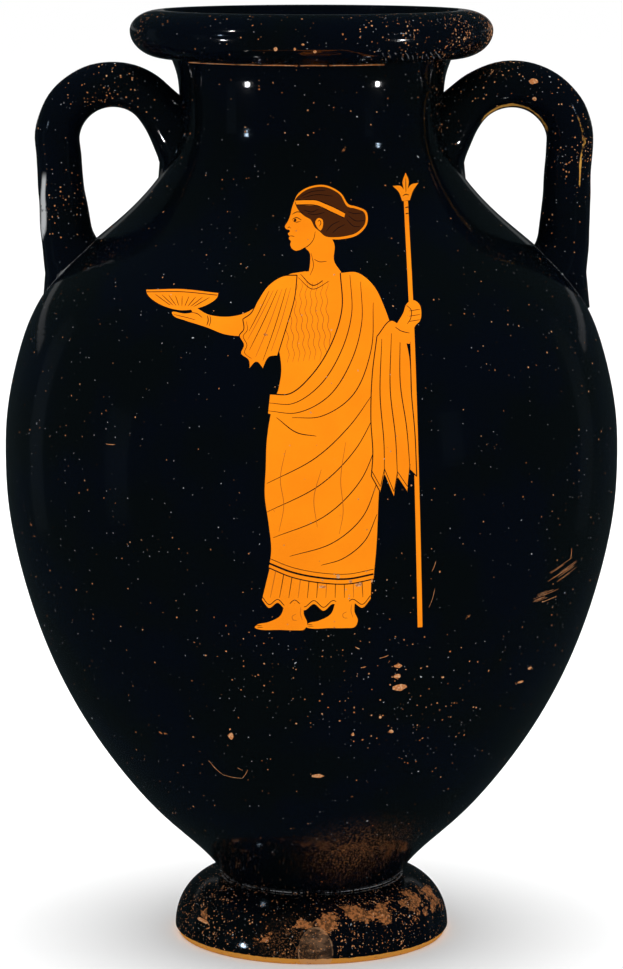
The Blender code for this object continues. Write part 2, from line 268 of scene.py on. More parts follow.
class Form:
    """The turned form worked out from its sizes. Every line is a list of (radius, height)."""

    def __init__(self, sizes):
        self.sizes = sizes
        self.lip_underside = sizes.height - sizes.lip_drop
        self.neck_height = sizes.height - sizes.neck_drop
        self.joint_height = sizes.foot_height - sizes.joint_groove
        self.floor_height = sizes.hollow_height + sizes.floor
        self.outer = natural_spline(self.stations())
        inside = self.cavity_line() + self.lip_line()
        wall = self.wall_line()
        foot = self.foot_line()
        self.line = inside + wall + foot
        self.wall_start = len(inside)
        self.wall_end = self.wall_start + len(wall) - 1
        # The gloss reaches down inside the neck to this row of the line
        self.mouth_row = len(self.cavity_line()) - FINE // 16

    def stations(self):
        """(height, outer radius) from the joint with the foot up to the lip's underside."""
        sizes = self.sizes
        joint = (self.joint_height, sizes.joint_radius)
        belly = (sizes.belly_height, sizes.belly_radius)
        neck = (self.neck_height, sizes.neck_radius)
        throat = (self.lip_underside, sizes.lip_throat)
        stations = [joint]
        stations += [share_of_way(joint, belly, shares) for shares in LOWER_BODY]
        stations += [belly]
        stations += [share_of_way(belly, neck, shares) for shares in SHOULDER]
        return stations + [neck, share_of_way(neck, throat, NECK_FLARE), throat]

    def slope(self, height):
        """How much the outer radius grows with height."""
        step = 0.0005
        height = np.clip(height, self.joint_height + step, self.lip_underside - step)
        return (self.outer(height + step) - self.outer(height - step)) / (2 * step)

    def depth_line(self, depth, lowest):
        """The surface this deep inside the wall, from lowest up to the neck."""
        heights = np.linspace(self.joint_height, self.neck_height, FINE)
        slope = self.slope(heights)
        across = np.hypot(1.0, slope)
        line = zip(self.outer(heights) - depth / across, heights + depth * slope / across)
        return [(float(r), float(z)) for r, z in line if z > lowest]

    def cavity_line(self):
        """The inside, from the middle of the floor up to the neck."""
        wall = self.depth_line(self.sizes.wall, self.floor_height + self.sizes.bowl_rise)
        return [(0.0, self.floor_height)] + wall

    def lip_line(self):
        """From the funnel inside the mouth over the lip, to its underside outside."""
        sizes = self.sizes
        funnel_foot = (sizes.neck_radius - sizes.wall, sizes.height - sizes.mouth_funnel)
        width_share, depth_share = FUNNEL_BULGE
        bulge = (
            between(funnel_foot[0], sizes.mouth_radius, width_share),
            between(sizes.height, funnel_foot[1], depth_share),
        )
        inner_edge = (sizes.mouth_radius, sizes.height - (sizes.lip_crest - sizes.mouth_radius) / 2)
        foot_of_funnel = self.depth_line(sizes.wall, self.neck_height - 0.004)[0]
        profile = natural_spline([(z, r) for r, z in (foot_of_funnel, funnel_foot, bulge, inner_edge)])
        heights = np.linspace(funnel_foot[1], inner_edge[1], ARC_POINTS)
        funnel = [(float(profile(z)), float(z)) for z in heights]
        crest = (sizes.lip_crest, sizes.height - sizes.lip_shoulder)
        inner = (sizes.lip_crest, inner_edge[1])
        brim = arc(inner, sizes.lip_crest - sizes.mouth_radius, sizes.height - inner_edge[1], 180, 90, 8)
        top = arc(crest, sizes.lip_radius - sizes.lip_crest, sizes.lip_shoulder, 90, 0)
        under_centre = between(sizes.lip_throat, sizes.lip_crest, 0.5)
        under = arc(
            (under_centre, crest[1]),
            sizes.lip_radius - under_centre,
            sizes.lip_drop - sizes.lip_shoulder,
            0,
            -90,
        )
        return funnel + brim[1:] + top[1:] + under[1:]

    def wall_line(self):
        """The outside of neck and body, from the lip's underside down to the foot."""
        heights = np.linspace(self.lip_underside, self.joint_height, 4 * FINE)
        return [(float(self.outer(z)), float(z)) for z in heights]

    def foot_line(self):
        """The foot, from its rounded top down to its ring and up into its hollow."""
        sizes = self.sizes
        soft = sizes.rounding
        top = arc(
            (sizes.foot_top, sizes.foot_edge),
            sizes.foot_radius - sizes.foot_top,
            sizes.foot_height - sizes.foot_edge,
            90,
            0,
        )
        outer_edge = arc((sizes.foot_base - soft, soft), soft, soft, 0, -90, 6)
        ring = sizes.foot_base - sizes.ring_width
        inner_edge = arc((ring + soft, soft), soft, soft, -90, -150, 4)
        hollow = (sizes.hollow_top, sizes.hollow_height)
        rising = [share_of_way(inner_edge[-1], hollow, (k / 8, k / 8)) for k in range(1, 9)]
        return top + outer_edge + inner_edge + rising + [(0.0, sizes.hollow_height)]

    def rows(self, first, last):
        """Indices of the line between which a straight chord stays true to its curve."""
        points = np.array(self.line)
        kept = [first]
        while kept[-1] < last:
            start = kept[-1]
            end = start + 1
            while end < last and self.chord_holds(points, start, end + 1):
                end += 1
            kept.append(end)
        return kept

    def chord_holds(self, points, start, end):
        chord = points[end] - points[start]
        span = float(np.hypot(*chord))
        if span > LONGEST_ROW or span == 0:
            return span == 0
        away = points[start + 1 : end] - points[start]
        return bool(np.all(np.abs(away[:, 0] * chord[1] - away[:, 1] * chord[0]) < CHORD_ERROR * span))


# Painting. All its measures are millimetres, x across and z up, seen square on from one side


def mix(a, b, share):
    return tuple(between(p, q, share) for p, q in zip(a, b))


def smooth_line(points, closed=False):
    """A smooth line through points. A third value in a point makes it a corner."""
    count = len(points)
    corner = [len(p) > 2 for p in points]
    flat = [(p[0], p[1]) for p in points]
    made = []
    for i in range(count if closed else count - 1):
        start = flat[i]
        end = flat[(i + 1) % count]
        first = corner[i] or (not closed and i == 0)
        last = corner[(i + 1) % count] or (not closed and i == count - 2)
        before = start if first else flat[i - 1]
        after = end if last else flat[(i + 2) % count]
        span = math.dist(start, end)
        pieces = max(1, math.ceil(span / SMOOTH_STEP))
        for k in range(pieces):
            made.append(hermite(before, start, end, after, span, k / pieces))
    if not closed:
        made.append(flat[-1])
    return made


def hermite(before, start, end, after, span, t):
    """The point at t of a smooth span. before is start itself at a corner, and so is after."""
    lead = max(math.dist(before, start), 1e-9)
    trail = max(math.dist(end, after), 1e-9)
    point = []
    for axis in (0, 1):
        chord = end[axis] - start[axis]
        leave = chord
        if before != start:
            leave = (chord + (start[axis] - before[axis]) * span / lead) / 2
        arrive = chord
        if after != end:
            arrive = (chord + (after[axis] - end[axis]) * span / trail) / 2
        point.append(
            (2 * t**3 - 3 * t**2 + 1) * start[axis]
            + (t**3 - 2 * t**2 + t) * leave
            + (3 * t**2 - 2 * t**3) * end[axis]
            + (t**3 - t**2) * arrive
        )
    return tuple(point)


def plain(points):
    return [(p[0], p[1]) for p in points]


def moved(points, across, up=0):
    return [(x + across, z + up, *corner) for x, z, *corner in points]


def between_lines(first, second, share):
    """The line that lies this share of the way between two lines of as many points."""
    return [mix(a, b, share) for a, b in zip(first, second)]


def shares(count):
    return [(k + 0.5) / count for k in range(count)]


def ripple(points, size, waves):
    """The same line with small waves across it, for crinkled linen."""
    path = smooth_line(points)[::2]
    made = []
    for k, (x, z) in enumerate(path):
        made.append((x + size * math.sin(2 * math.pi * waves * k / len(path)), z))
    return made


class Drawing:
    """Fills and brush lines in painter's order: a later one covers an earlier one."""

    def __init__(self):
        self.layers = []

    def fill(self, paint, points):
        self.layers.append((paint, smooth_line(points, closed=True)))

    def polygon(self, paint, points):
        self.layers.append((paint, plain(points)))

    def disc(self, paint, centre, radius, sides=10):
        self.layers.append((paint, arc(centre, radius, radius, 0, 360 * (1 - 1 / sides), sides)))

    def line(self, paint, points, width=RELIEF, blunt=False):
        """A brush line that thins towards both ends, or keeps its width if blunt."""
        path = smooth_line(points)
        left = []
        right = []
        for k, (x, z) in enumerate(path):
            swell = 1.0
            if not blunt:
                swell = 0.45 + 0.55 * max(0.0, math.sin(math.pi * k / (len(path) - 1))) ** 0.6
            before = path[max(0, k - 1)]
            after = path[min(len(path) - 1, k + 1)]
            reach = width / 2 * swell / max(math.dist(before, after), 1e-9)
            across = ((before[1] - after[1]) * reach, (after[0] - before[0]) * reach)
            left.append((x + across[0], z + across[1]))
            right.append((x - across[0], z - across[1]))
        self.layers.append((paint, left + right[::-1]))

    def lines(self, paint, many, width=RELIEF, blunt=False):
        for points in many:
            self.line(paint, points, width, blunt)

    def outline(self, paint, points, width=RELIEF):
        """The edge of a closed shape, drawn as a line of even width."""
        self.line(paint, list(points) + [points[0]], width, blunt=True)


def front_figure():
    d = Drawing()
    staff(d)
    under_robe(d)
    feet(d)
    cloak_skirt(d)
    bodice(d)
    cloak_over_shoulder(d)
    outstretched_arm(d)
    dish(d)
    far_hand(d)
    head(d)
    return d


def staff(d):
    d.polygon(CLAY, [(44.3, 163), (46.3, 163), (41.1, 336), (39.3, 336)])
    d.lines(GLOSS, [[(40, 331), (41.6, 331.2)], [(39.9, 333.4), (41.5, 333.6)]], 0.4, blunt=True)
    d.fill(CLAY, [
        (38.6, 336, 1), (37.2, 339.6), (34.6, 342.2, 1), (38, 342), (39.4, 340.6, 1), (38.9, 343.6),
        (40.3, 347.2, 1), (41.6, 343.8), (41.1, 340.8, 1), (42.6, 342.3), (45.8, 342.8, 1), (43.4, 339.8),
        (41.9, 336.2, 1),
    ])
    d.line(GLOSS, [(38.9, 338), (40.2, 338.6), (41.6, 338.2)], 0.4)
    d.line(GLOSS, [(40.3, 339.4), (40.3, 345)], THIN_LINE)


def under_robe(d):
    """The pleated robe that shows below the cloak."""
    hem = [
        (-20.5, 176.5, 1), (-17.5, 173), (-14, 175.4), (-10.5, 172.4), (-7, 175.2), (-3, 172.2), (1, 175),
        (5, 172), (9, 175), (13, 172.3), (17, 175.4), (21, 173), (24.5, 176.8, 1),
    ]
    top = [(25, 200, 1), (-15, 200, 1)]
    d.fill(CLAY, hem + top)
    edge = [(x, z + 1.5) for x, z, *_ in hem]
    d.line(GLOSS, edge, MIDDLE_LINE, blunt=True)
    left = [(-19, 177.6), (-17.2, 186), (-15, 197)]
    right = [(23.2, 177.6), (22.6, 186), (22, 197)]
    for k, share in enumerate(shares(11)):
        pleat = between_lines(left, right, share)
        d.line(GLOSS if k % 3 else BROWN, pleat, MIDDLE_LINE)


def feet(d):
    """Two bare feet that point to the left."""
    for across, up in ((0, 0), (-21, -0.9)):
        d.fill(CLAY, moved([
            (10, 176, 1), (8, 170.5), (3, 167.6), (-1.6, 166.3), (-2.6, 165), (-1, 164.3), (8, 164.3),
            (14, 164.2), (18, 164.6), (19.2, 167.4), (17.8, 171.5), (18, 176, 1),
        ], across, up))
        d.line(GLOSS, moved([(-2, 166), (0.4, 165.9)], across, up), FINE_LINE)
        d.line(GLOSS, moved([(-1.6, 165.2), (0.8, 165.2)], across, up), FINE_LINE)
        ankle = [(14.6, 171.4), (13, 170.4), (13.4, 168.8), (15, 168.6)]
        d.line(BROWN, moved(ankle, across, up), THIN_LINE)
        d.line(BROWN, moved([(16.6, 174.6), (16.4, 171.6), (17.2, 168.8)], across, up), FINE_LINE)


def cloak_skirt(d):
    """The cloak round hips and legs, drawn tight over the bent knee."""
    shape = [
        (-12, 268, 1), (-15.8, 258), (-18.2, 245), (-18.8, 232), (-19.2, 221), (-17.6, 209), (-16.6, 198),
        (-17.6, 190.5, 1), (-8, 186.6), (4, 184.2), (15, 183.6), (25.6, 185.4, 1), (26.8, 200),
        (27.6, 220), (28.6, 240), (27.8, 256), (23, 270, 1),
    ]
    d.fill(CLAY, shape)
    lower = [(-17.8, 192.6), (-8, 188.8), (4, 186.4), (15, 185.8), (25.6, 187.6)]
    raised = [(-17.4, 194.6), (-8, 190.9), (4, 188.5), (15, 187.9), (25.7, 189.7)]
    d.line(GLOSS, plain(shape[7:12]), 0.5, blunt=True)
    d.line(GLOSS, lower, 0.8, blunt=True)
    d.line(GLOSS, raised, THIN_LINE, blunt=True)
    d.lines(GLOSS, [
        [(25, 262), (16, 250), (2, 237), (-18.4, 226)], [(26.6, 255), (18, 240), (4, 226), (-18.6, 214)],
        [(27.6, 244), (20, 227), (6, 213), (-15.8, 203.4)],
        [(27.6, 228), (21, 212), (9, 201.5), (-9, 195.6)],
        [(27, 213), (22, 202), (13, 194.6), (4, 191.8)], [(-14.4, 253), (-6, 247), (2, 245.6)],
        [(-8.4, 262), (0, 256), (9, 255)],
    ])
    d.lines(BROWN, [
        [(-10.6, 240), (-12.8, 228), (-11.4, 217), (-13.4, 206)], [(4, 232), (1, 220), (2.4, 208)],
        [(14, 243), (12, 228), (13, 214), (11.4, 205)],
    ], THIN_LINE)


def bodice(d):
    """The thin robe over breast and waist, with fine wavy pleats."""
    shape = [
        (-3, 310, 1), (-10, 308.6), (-15.6, 304.4), (-17.6, 298), (-16, 290), (-13.6, 281), (-12.4, 272),
        (-14, 262, 1), (4, 262, 1), (20, 290, 1), (14, 308.6), (8, 310, 1),
    ]
    d.fill(CLAY, shape)
    left = [(-11.6, 305.6), (-12.2, 296), (-11, 285), (-10.6, 274)]
    right = [(7.6, 306.6), (7.4, 297), (8.4, 287), (9.4, 276)]
    for share in shares(9):
        base = between_lines(left, right, share)
        d.line(BROWN, ripple(base, 0.45, 5), HAIR_LINE)
    d.line(GLOSS, [(-4.6, 309), (0.6, 304.8), (6.6, 307.8)], 0.4)
    d.line(GLOSS, [(-5.6, 307.8), (0.4, 303.4), (7.4, 306.4)], THIN_LINE)


def cloak_over_shoulder(d):
    """The rolled edge from the near hip up to the far shoulder, and what falls over the arm."""
    roll = [
        (-17, 262.4, 1), (-9, 262.6), (0, 270), (8, 282), (12.6, 296), (12, 309.4, 1), (19, 309.4),
        (25.6, 304.6), (30.4, 295.6), (34.2, 284), (36, 276, 1), (29, 271), (24, 262), (14, 255),
        (2, 251.6), (-10, 252.6), (-17.8, 254.6, 1),
    ]
    d.fill(CLAY, roll)
    d.line(GLOSS, [
        (-17, 262.4), (-9, 262.6), (0, 270), (8, 282), (12.6, 296), (12, 309.4),
    ], 0.5, blunt=True)
    d.lines(GLOSS, [
        [(-17.4, 258.8), (-8, 258.6), (3, 265.6), (12, 279), (16.6, 294), (16, 308.6)],
        [(-17.6, 255.6), (-6, 255), (7, 261.6), (16.4, 275.6), (20.8, 291), (20.4, 306)],
        [(-8, 253), (4, 253.6), (17, 262), (24.6, 280), (25.6, 298)],
    ])
    fall = [
        (27, 285, 1), (25, 270), (24.4, 252), (25.2, 238), (24.6, 229, 1), (28.4, 222, 1), (30, 229.4, 1),
        (34, 219.6, 1), (35.4, 228, 1), (39.6, 221.6, 1), (40.6, 231, 1), (43.4, 228, 1), (42.6, 246),
        (41.2, 262), (40.6, 276), (38, 288, 1), (33, 291),
    ]
    d.fill(CLAY, fall)
    d.outline(GLOSS, fall, 0.44)
    d.lines(GLOSS, [
        [(29, 284), (28.2, 262), (29.8, 242), (30, 229.6)],
        [(33, 286), (32.4, 264), (34.6, 244), (35.4, 228.4)],
        [(36.6, 285), (36.6, 266), (39.2, 248), (40.6, 231.2)],
    ])
    for a, b, c in (
        ((24.6, 231.4), (28.4, 224.4), (30, 231.8)), ((30, 231.8), (34, 222), (35.4, 230.4)),
        ((35.4, 230.4), (39.6, 224), (40.6, 233.4)),
    ):
        d.line(GLOSS, [a, (*b, 1), c], THIN_LINE, blunt=True)


def outstretched_arm(d):
    """The near arm in its wide sleeve, with the hand under the dish."""
    arm = [
        (-17, 291, 1), (-26, 285.6), (-35, 285.4), (-43.6, 288), (-47.6, 289), (-52.6, 290.2),
        (-57.6, 291.8), (-58.2, 293), (-52.6, 292.8), (-49.6, 293.6), (-51, 295.6), (-50.2, 296.4),
        (-46.6, 294.6), (-43.2, 293), (-34, 292.4), (-26, 294.6), (-17, 302, 1),
    ]
    d.fill(CLAY, arm)
    d.line(GLOSS, [(-50.4, 293.4), (-47.4, 293), (-45.4, 291.6)], THIN_LINE)
    d.line(GLOSS, [(-57.4, 292.2), (-52.4, 291.4), (-48.2, 290.6)], FINE_LINE)
    d.line(GLOSS, [(-43.4, 288.6), (-42.8, 290.6), (-43.2, 292.6)], 0.4)
    d.line(GLOSS, [(-42.4, 288.4), (-41.8, 290.6), (-42.2, 292.8)], THIN_LINE)
    sleeve = [
        (-6, 308.6, 1), (-12, 308.2), (-18, 304.6), (-22.4, 298.6), (-25, 294), (-28.4, 291.6, 1),
        (-28, 287.6), (-29.8, 285.2), (-28, 281.6), (-29.2, 278.2), (-26, 275.6), (-25.6, 272.2, 1),
        (-22.6, 275), (-20, 272.4, 1), (-17.4, 277), (-14, 277.6, 1), (-10, 290), (-7, 300),
    ]
    d.fill(CLAY, sleeve)
    d.outline(GLOSS, sleeve)
    d.line(GLOSS, [
        (-26.9, 290.8), (-26.5, 287.4), (-28.2, 285), (-26.6, 281.6), (-27.6, 278.6), (-24.6, 276.2),
    ], FINE_LINE)
    ends = [(-25.8, 287), (-26.4, 283.6), (-25.6, 279.6), (-23, 277), (-20, 275.6), (-16.6, 279.4)]
    for k, end in enumerate(ends):
        start = mix((-17.6, 302.6), (-8.6, 304), k / (len(ends) - 1))
        middle = mix(start, end, 0.55)
        d.line(BROWN if k % 2 else GLOSS, [start, (middle[0] + 0.6, middle[1] + 0.8), end], THIN_LINE)


def dish(d):
    """A shallow ribbed dish on the open hand."""
    d.fill(CLAY, [
        (-69.5, 300.8, 1), (-69, 299.2), (-65, 296.4), (-59.5, 294.6), (-54, 294), (-48.5, 294.8),
        (-43, 296.8), (-39.2, 299.6), (-38.8, 301.2, 1), (-54, 302),
    ])
    d.line(GLOSS, [(-69.2, 300), (-54, 301), (-39.2, 300.4)], THIN_LINE, blunt=True)
    for share in shares(9):
        top = (-67 + 26 * share, 299.4)
        low = (-59.5 + 11 * share, 295.6)
        d.line(GLOSS, [top, low], HAIR_LINE)


def far_hand(d):
    """The far hand that closes round the staff."""
    d.fill(CLAY, [
        (33, 283, 1), (35, 289), (38, 293.6), (39.6, 297.2), (42.2, 298.4), (44.8, 296.8), (45.6, 293.6),
        (45, 290.4), (43, 288.6), (41.4, 285.4), (40.6, 281.6, 1),
    ])
    for z in (290.6, 292.6, 294.6):
        d.line(GLOSS, [(40.4, z - 0.3), (43, z), (45.2, z + 0.2)], FINE_LINE)
    d.line(GLOSS, [(39.4, 296.6), (41.4, 294.6), (41, 291.2), (39.6, 289.4)], MIDDLE_LINE)
    d.line(GLOSS, [(34.6, 288.4), (37, 286.8), (40.6, 285.8)], MIDDLE_LINE)


def head(d):
    """A calm profile to the left, with gathered hair and a fillet."""
    d.fill(CLAY, [
        (-1.6, 308, 1), (-0.6, 313), (-0.8, 317), (-2.6, 318.8, 1), (6, 326, 1), (9.6, 320), (9.4, 314),
        (12.4, 309.6, 1), (6, 306.6),
    ])
    d.fill(CLAY, [
        (-7.4, 336.6), (-8.3, 334), (-8.9, 331.4), (-10, 328.8), (-11.2, 326.9), (-10.8, 326),
        (-9.2, 325.5), (-9.1, 325), (-9.9, 324.2), (-9.5, 323.5), (-9, 323.2, 1), (-9.5, 322.7),
        (-9.2, 321.8), (-8.6, 321.4), (-8.9, 320.2), (-8.4, 318.8), (-6.8, 317.8), (-4.4, 318.2),
        (-1, 319.6), (4, 322), (12, 322), (19.4, 323.6), (23.4, 327.6), (23.2, 332.4), (18.8, 334.6),
        (15.8, 335.4), (12.4, 340), (5.6, 343.2), (-1.4, 342.4), (-5.8, 339.6),
    ])
    hair = [
        (-7, 336.9), (-5.6, 333.4), (-3, 331), (-0.4, 329.6), (1.4, 326.6), (3.2, 325.2), (5.8, 323.2),
        (10, 322.8), (14.6, 323.2), (19, 324.4), (22.6, 327.9), (22.4, 332), (18.4, 333.8), (15.2, 334.6),
        (12, 339.4), (5.4, 342.5), (-1.2, 341.7), (-5.4, 339.1),
    ]
    d.fill(HAIR, hair)
    d.fill(CLAY, [(2.4, 326.6), (1.6, 328.8), (2.8, 330.2), (4.6, 329.6), (4.8, 327.2), (3.8, 325.4)])
    d.line(GLOSS, [(2.6, 328.8), (3.4, 329.4), (4, 328.2), (3.2, 327)], THIN_LINE)
    d.polygon(CLAY, [
        (-7.1, 337.2), (-6.4, 335.4), (2, 335.2), (9, 332.4), (13.8, 330.2), (14.2, 332), (9, 334.4),
        (2, 337.2),
    ])
    d.lines(GLOSS, [
        [(-7, 337.2), (2, 337.2), (9.2, 334.5), (14.2, 332)],
        [(-6.6, 335.4), (2, 335.2), (8.8, 332.4), (13.8, 330.2)],
    ], THIN_LINE, blunt=True)
    d.lines(GLOSS, [
        [(-4.8, 338.6), (0, 340.6), (6, 341.2)], [(-3.6, 338.2), (2, 339.4), (9, 338.8)],
        [(15.4, 332.6), (18, 331.8), (21.8, 332)], [(15.6, 331), (18.6, 329), (22.4, 329)],
        [(14.8, 329.6), (17.6, 327), (20.6, 326.6)], [(-3.4, 333.4), (0, 332.6), (3, 333.6)],
        [(-1.6, 332), (1.4, 331.6), (5.6, 332.4)], [(6.2, 325), (8.4, 327.4), (12, 329)],
        [(8.8, 324.4), (11, 326.2), (14, 327.6)],
    ], FINE_LINE)
    d.lines(GLOSS, [
        [(-8.2, 331.6), (-6.2, 332.6), (-3.6, 332.2)], [(-8.2, 329.6), (-6.4, 330.4), (-4.2, 329.4)],
    ], MIDDLE_LINE)
    d.line(GLOSS, [(-8, 329.2), (-6.4, 328.6), (-4.6, 329)], FINE_LINE)
    d.disc(GLOSS, (-6.9, 329.4), 0.55)
    d.line(GLOSS, [(-10, 326.4), (-9.2, 326.8), (-8.8, 326.2)], FINE_LINE)
    d.lines(GLOSS, [
        [(-9.2, 323.25), (-8, 323.3), (-7.2, 323)],
        [(-4.2, 318.3), (-1.4, 319.6), (0.8, 322), (1.6, 325)], [(1, 314.6), (3.4, 313.6), (6.4, 313.8)],
    ], HAIR_LINE)
    d.line(GLOSS, [(-0.2, 317), (0.8, 312), (-0.6, 308.6)], FINE_LINE)


def back_figure():
    """A plainer figure for the other side: wrapped in a cloak, facing right, with a stick."""
    d = Drawing()
    d.polygon(CLAY, [(30.6, 166), (32.2, 166), (29.8, 296), (28.4, 296)])
    for shift in (0, 15):
        d.fill(CLAY, moved([
            (-14, 182, 1), (-13.4, 172), (-15.6, 166.6), (-14.6, 164.6), (-2, 164.4), (2.6, 165.2),
            (1.4, 166.8), (-4, 169), (-6.6, 173), (-6, 182, 1),
        ], shift))
        d.line(BROWN, moved([(-10, 171.6), (-8.6, 170), (-9.4, 168.6)], shift), THIN_LINE)
    cloak = [
        (-8, 309, 1), (-15, 306), (-20.4, 298), (-22.6, 284), (-22.4, 264), (-23, 240), (-22, 214),
        (-20, 194), (-20.6, 182.4, 1), (-8, 179), (6, 178.6), (16.6, 181, 1), (18, 200), (19, 226),
        (18.4, 250), (19.6, 268), (27, 283), (33.4, 290, 1), (33, 294, 1), (24.6, 293.6), (17.6, 292),
        (13, 301), (8, 307.4), (4.6, 309.4, 1),
    ]
    d.fill(CLAY, cloak)
    d.line(GLOSS, [(-20.4, 185.4), (-8, 182), (6, 181.6), (16.8, 184)], 0.8, blunt=True)
    d.line(GLOSS, [(3.6, 309.2), (-2, 302), (-9, 296.6), (-18.6, 294.6)])
    for k in range(7):
        low = 278 - 13.5 * k
        d.line(GLOSS, [(15.6 + 0.4 * k, low + 14), (6, low), (-8, low - 8), (-22, low - 9.6)])
    d.line(GLOSS, [(9, 304), (12.4, 288), (10, 262), (13.6, 236), (11, 208), (13, 186)])
    d.line(GLOSS, [(5, 305.6), (7.4, 288), (4.6, 264)])
    for x, low in ((-13, 192), (-5, 188), (3, 190)):
        d.line(BROWN, [(x, low + 30), (x - 1.6, low + 16), (x, low)], THIN_LINE)
    d.fill(CLAY, [
        (27.6, 294.4, 1), (27.2, 289.6), (30, 287), (33.2, 288), (34.2, 291.6), (32.6, 295.2, 1),
    ])
    d.lines(GLOSS, [[(29.6, z), (33.8, z + 0.3)] for z in (289.4, 291.4, 293.2)], FINE_LINE)
    d.fill(CLAY, [(-6, 306, 1), (-5.6, 313), (-8, 319, 1), (3.6, 322, 1), (3.2, 314), (4.6, 306, 1)])
    d.fill(CLAY, [
        (8.4, 337.4), (9.4, 333.6), (10, 331), (12, 327.2), (11.4, 326.2), (10.2, 325.7), (10.6, 324.2),
        (10, 323.3, 1), (10.4, 322), (9.8, 320.4), (8.4, 318.6), (5.4, 318.6), (-1, 320), (-9, 321.6),
        (-14.4, 326), (-14.8, 334), (-10, 341), (-2, 344), (5.4, 341.6),
    ])
    d.fill(HAIR, [
        (8, 337.2), (6.4, 334), (2.6, 330.6), (0.4, 326), (-2.6, 322.6), (-8.6, 322.4), (-13.6, 326.4),
        (-14, 334), (-9.6, 340.3), (-2, 343.2), (5, 341),
    ])
    d.fill(CLAY, [(-2, 328.8), (-1, 331), (0.8, 330.4), (0.8, 327.6), (-0.6, 326)])
    d.line(GLOSS, [(-10.6, 338.6), (-2, 337.2), (7.6, 335.6)], 0.5, blunt=True)
    d.lines(GLOSS, [
        [(9.2, 331.8), (7, 332.6), (4.6, 332)], [(9.2, 329.7), (7.4, 330.4), (5.4, 329.5)],
    ], MIDDLE_LINE)
    d.disc(GLOSS, (7.8, 329.5), 0.5)
    d.lines(GLOSS, [[(10, 323.3), (8.6, 323.3)], [(5.4, 318.8), (1.6, 320.4), (-0.6, 323.4)]], FINE_LINE)
    return d


# Chips as (x, z, width, height) and scratches as (x, z, run, rise, width), on the front
CHIPS = (
    (36.3, 146, 4.2, 2.2), (35.9, 141.4, 3.4, 2.6), (37.2, 135.9, 6, 3.4), (2.8, 94.1, 5, 2.4),
    (11, 186.9, 2.2, 2.4), (4.8, 182.5, 2.8, 1.4), (16, 184.6, 1.6, 1.4), (19.6, 183.2, 2.8, 1.8),
    (25, 184.6, 0.9, 1.8), (94.1, 135.9, 1.9, 1.3), (89.8, 130.1, 2.8, 1.4), (17.4, 114.6, 1.2, 1.8),
    (29, 122.4, 1.5, 1.5), (33.8, 115, 2.4, 1.8), (-34, 112.8, 2.4, 3.4), (55.4, 139, 1.4, 0.8),
)
# Bands of rubbed strands as (x, z, run, rise, number of strands), and lone scratches
RUBBED = ((101.8, 177.5, 14.5, 6, 9), (95.2, 169, 10, 1.8, 8))
SCRATCHES = (
    (111, 183.5, 0.4, 5, 0.18), (50, 187.3, 1.6, 4.4, 0.18), (48.9, 171.4, 2.4, 8.4, 0.12),
    (-44, 99.4, 6, -6.8, 0.16), (-38, 92.6, 8.4, -1, 0.16), (-29.6, 91.6, 2.4, 4.6, 0.16),
    (-31.6, 97, 2.2, -1.2, 0.16), (18.2, 155.6, 1.8, -1, 0.34), (20.6, 146, 2.2, 0.5, 0.34),
    (28.4, 150, 3.8, 1.2, 0.26), (-86, 238, 4, 0.2, 0.24),
)
# Where the slip flaked off along the joint of lip and neck: first and last x, and z
FLAKED_LINE = (-53, 21, 393.3)


def chip_outline(x, z, width, height, chance):
    """A ragged shape about (x, z)."""
    sides = 9
    made = []
    for k in range(sides):
        angle = 2 * math.pi * k / sides
        reach = chance.uniform(0.34, 0.58)
        made.append((x + width * reach * math.cos(angle), z + height * reach * math.sin(angle)))
    return made


def damage():
    """Chips, scratches and the flaked line under the lip."""
    d = Drawing()
    chance = random.Random(7)
    for x, z, width, height in CHIPS:
        d.polygon(CHIP, chip_outline(x, z, width, height, chance))
        for k in range(2):
            aside = (x + width * chance.uniform(-0.8, 0.8), z + height * chance.uniform(-0.9, 0.9))
            d.polygon(CHIP, chip_outline(*aside, 0.14 * width, 0.2 * height, chance))
    for x, z, run, rise, width in SCRATCHES:
        bow = (x + run / 2 + 0.04 * rise, z + rise / 2 - 0.04 * run)
        d.line(CHIP, [(x, z), bow, (x + run, z + rise)], width)
    for x, z, run, rise, strands in RUBBED:
        for k in range(strands):
            across = x + chance.uniform(-0.1, 0.4) * run
            start = (across, z + 0.6 * (k - strands / 2) + chance.uniform(-0.3, 0.3))
            share = chance.uniform(0.35, 0.75)
            end = (start[0] + run * share, start[1] + rise * share)
            d.line(CHIP, [start, mix(start, end, 0.5), end], chance.uniform(0.10, 0.20))
    x, end, z = FLAKED_LINE
    while x < end:
        run = chance.uniform(4.0, 16.0)
        d.line(CHIP, [(x, z), (x + run / 2, z + 0.1), (x + run, z)], chance.uniform(0.26, 0.40))
        x += run + chance.uniform(0.2, 0.9)
    return d


# From the flat drawing to the wall


def divided(points, longest=2.5):
    """A closed outline with its long edges cut into short ones, so that they can bend."""
    made = []
    for a, b in zip(points, points[1:] + points[:1]):
        pieces = max(1, math.ceil(math.dist(a, b) / longest))
        made += [mix(a, b, k / pieces) for k in range(pieces)]
    return made


def unrolled(form, points, middle):
    """An outline seen square on from the angle middle, as (way round the belly, height)."""
    across, height = np.array(divided(points)).T
    radius = form.outer(height / MM) * MM
    angle = middle + np.arcsin(np.clip(across / radius, -1.0, 1.0))
    return np.stack((angle * form.sizes.belly_radius * MM, height), axis=1)


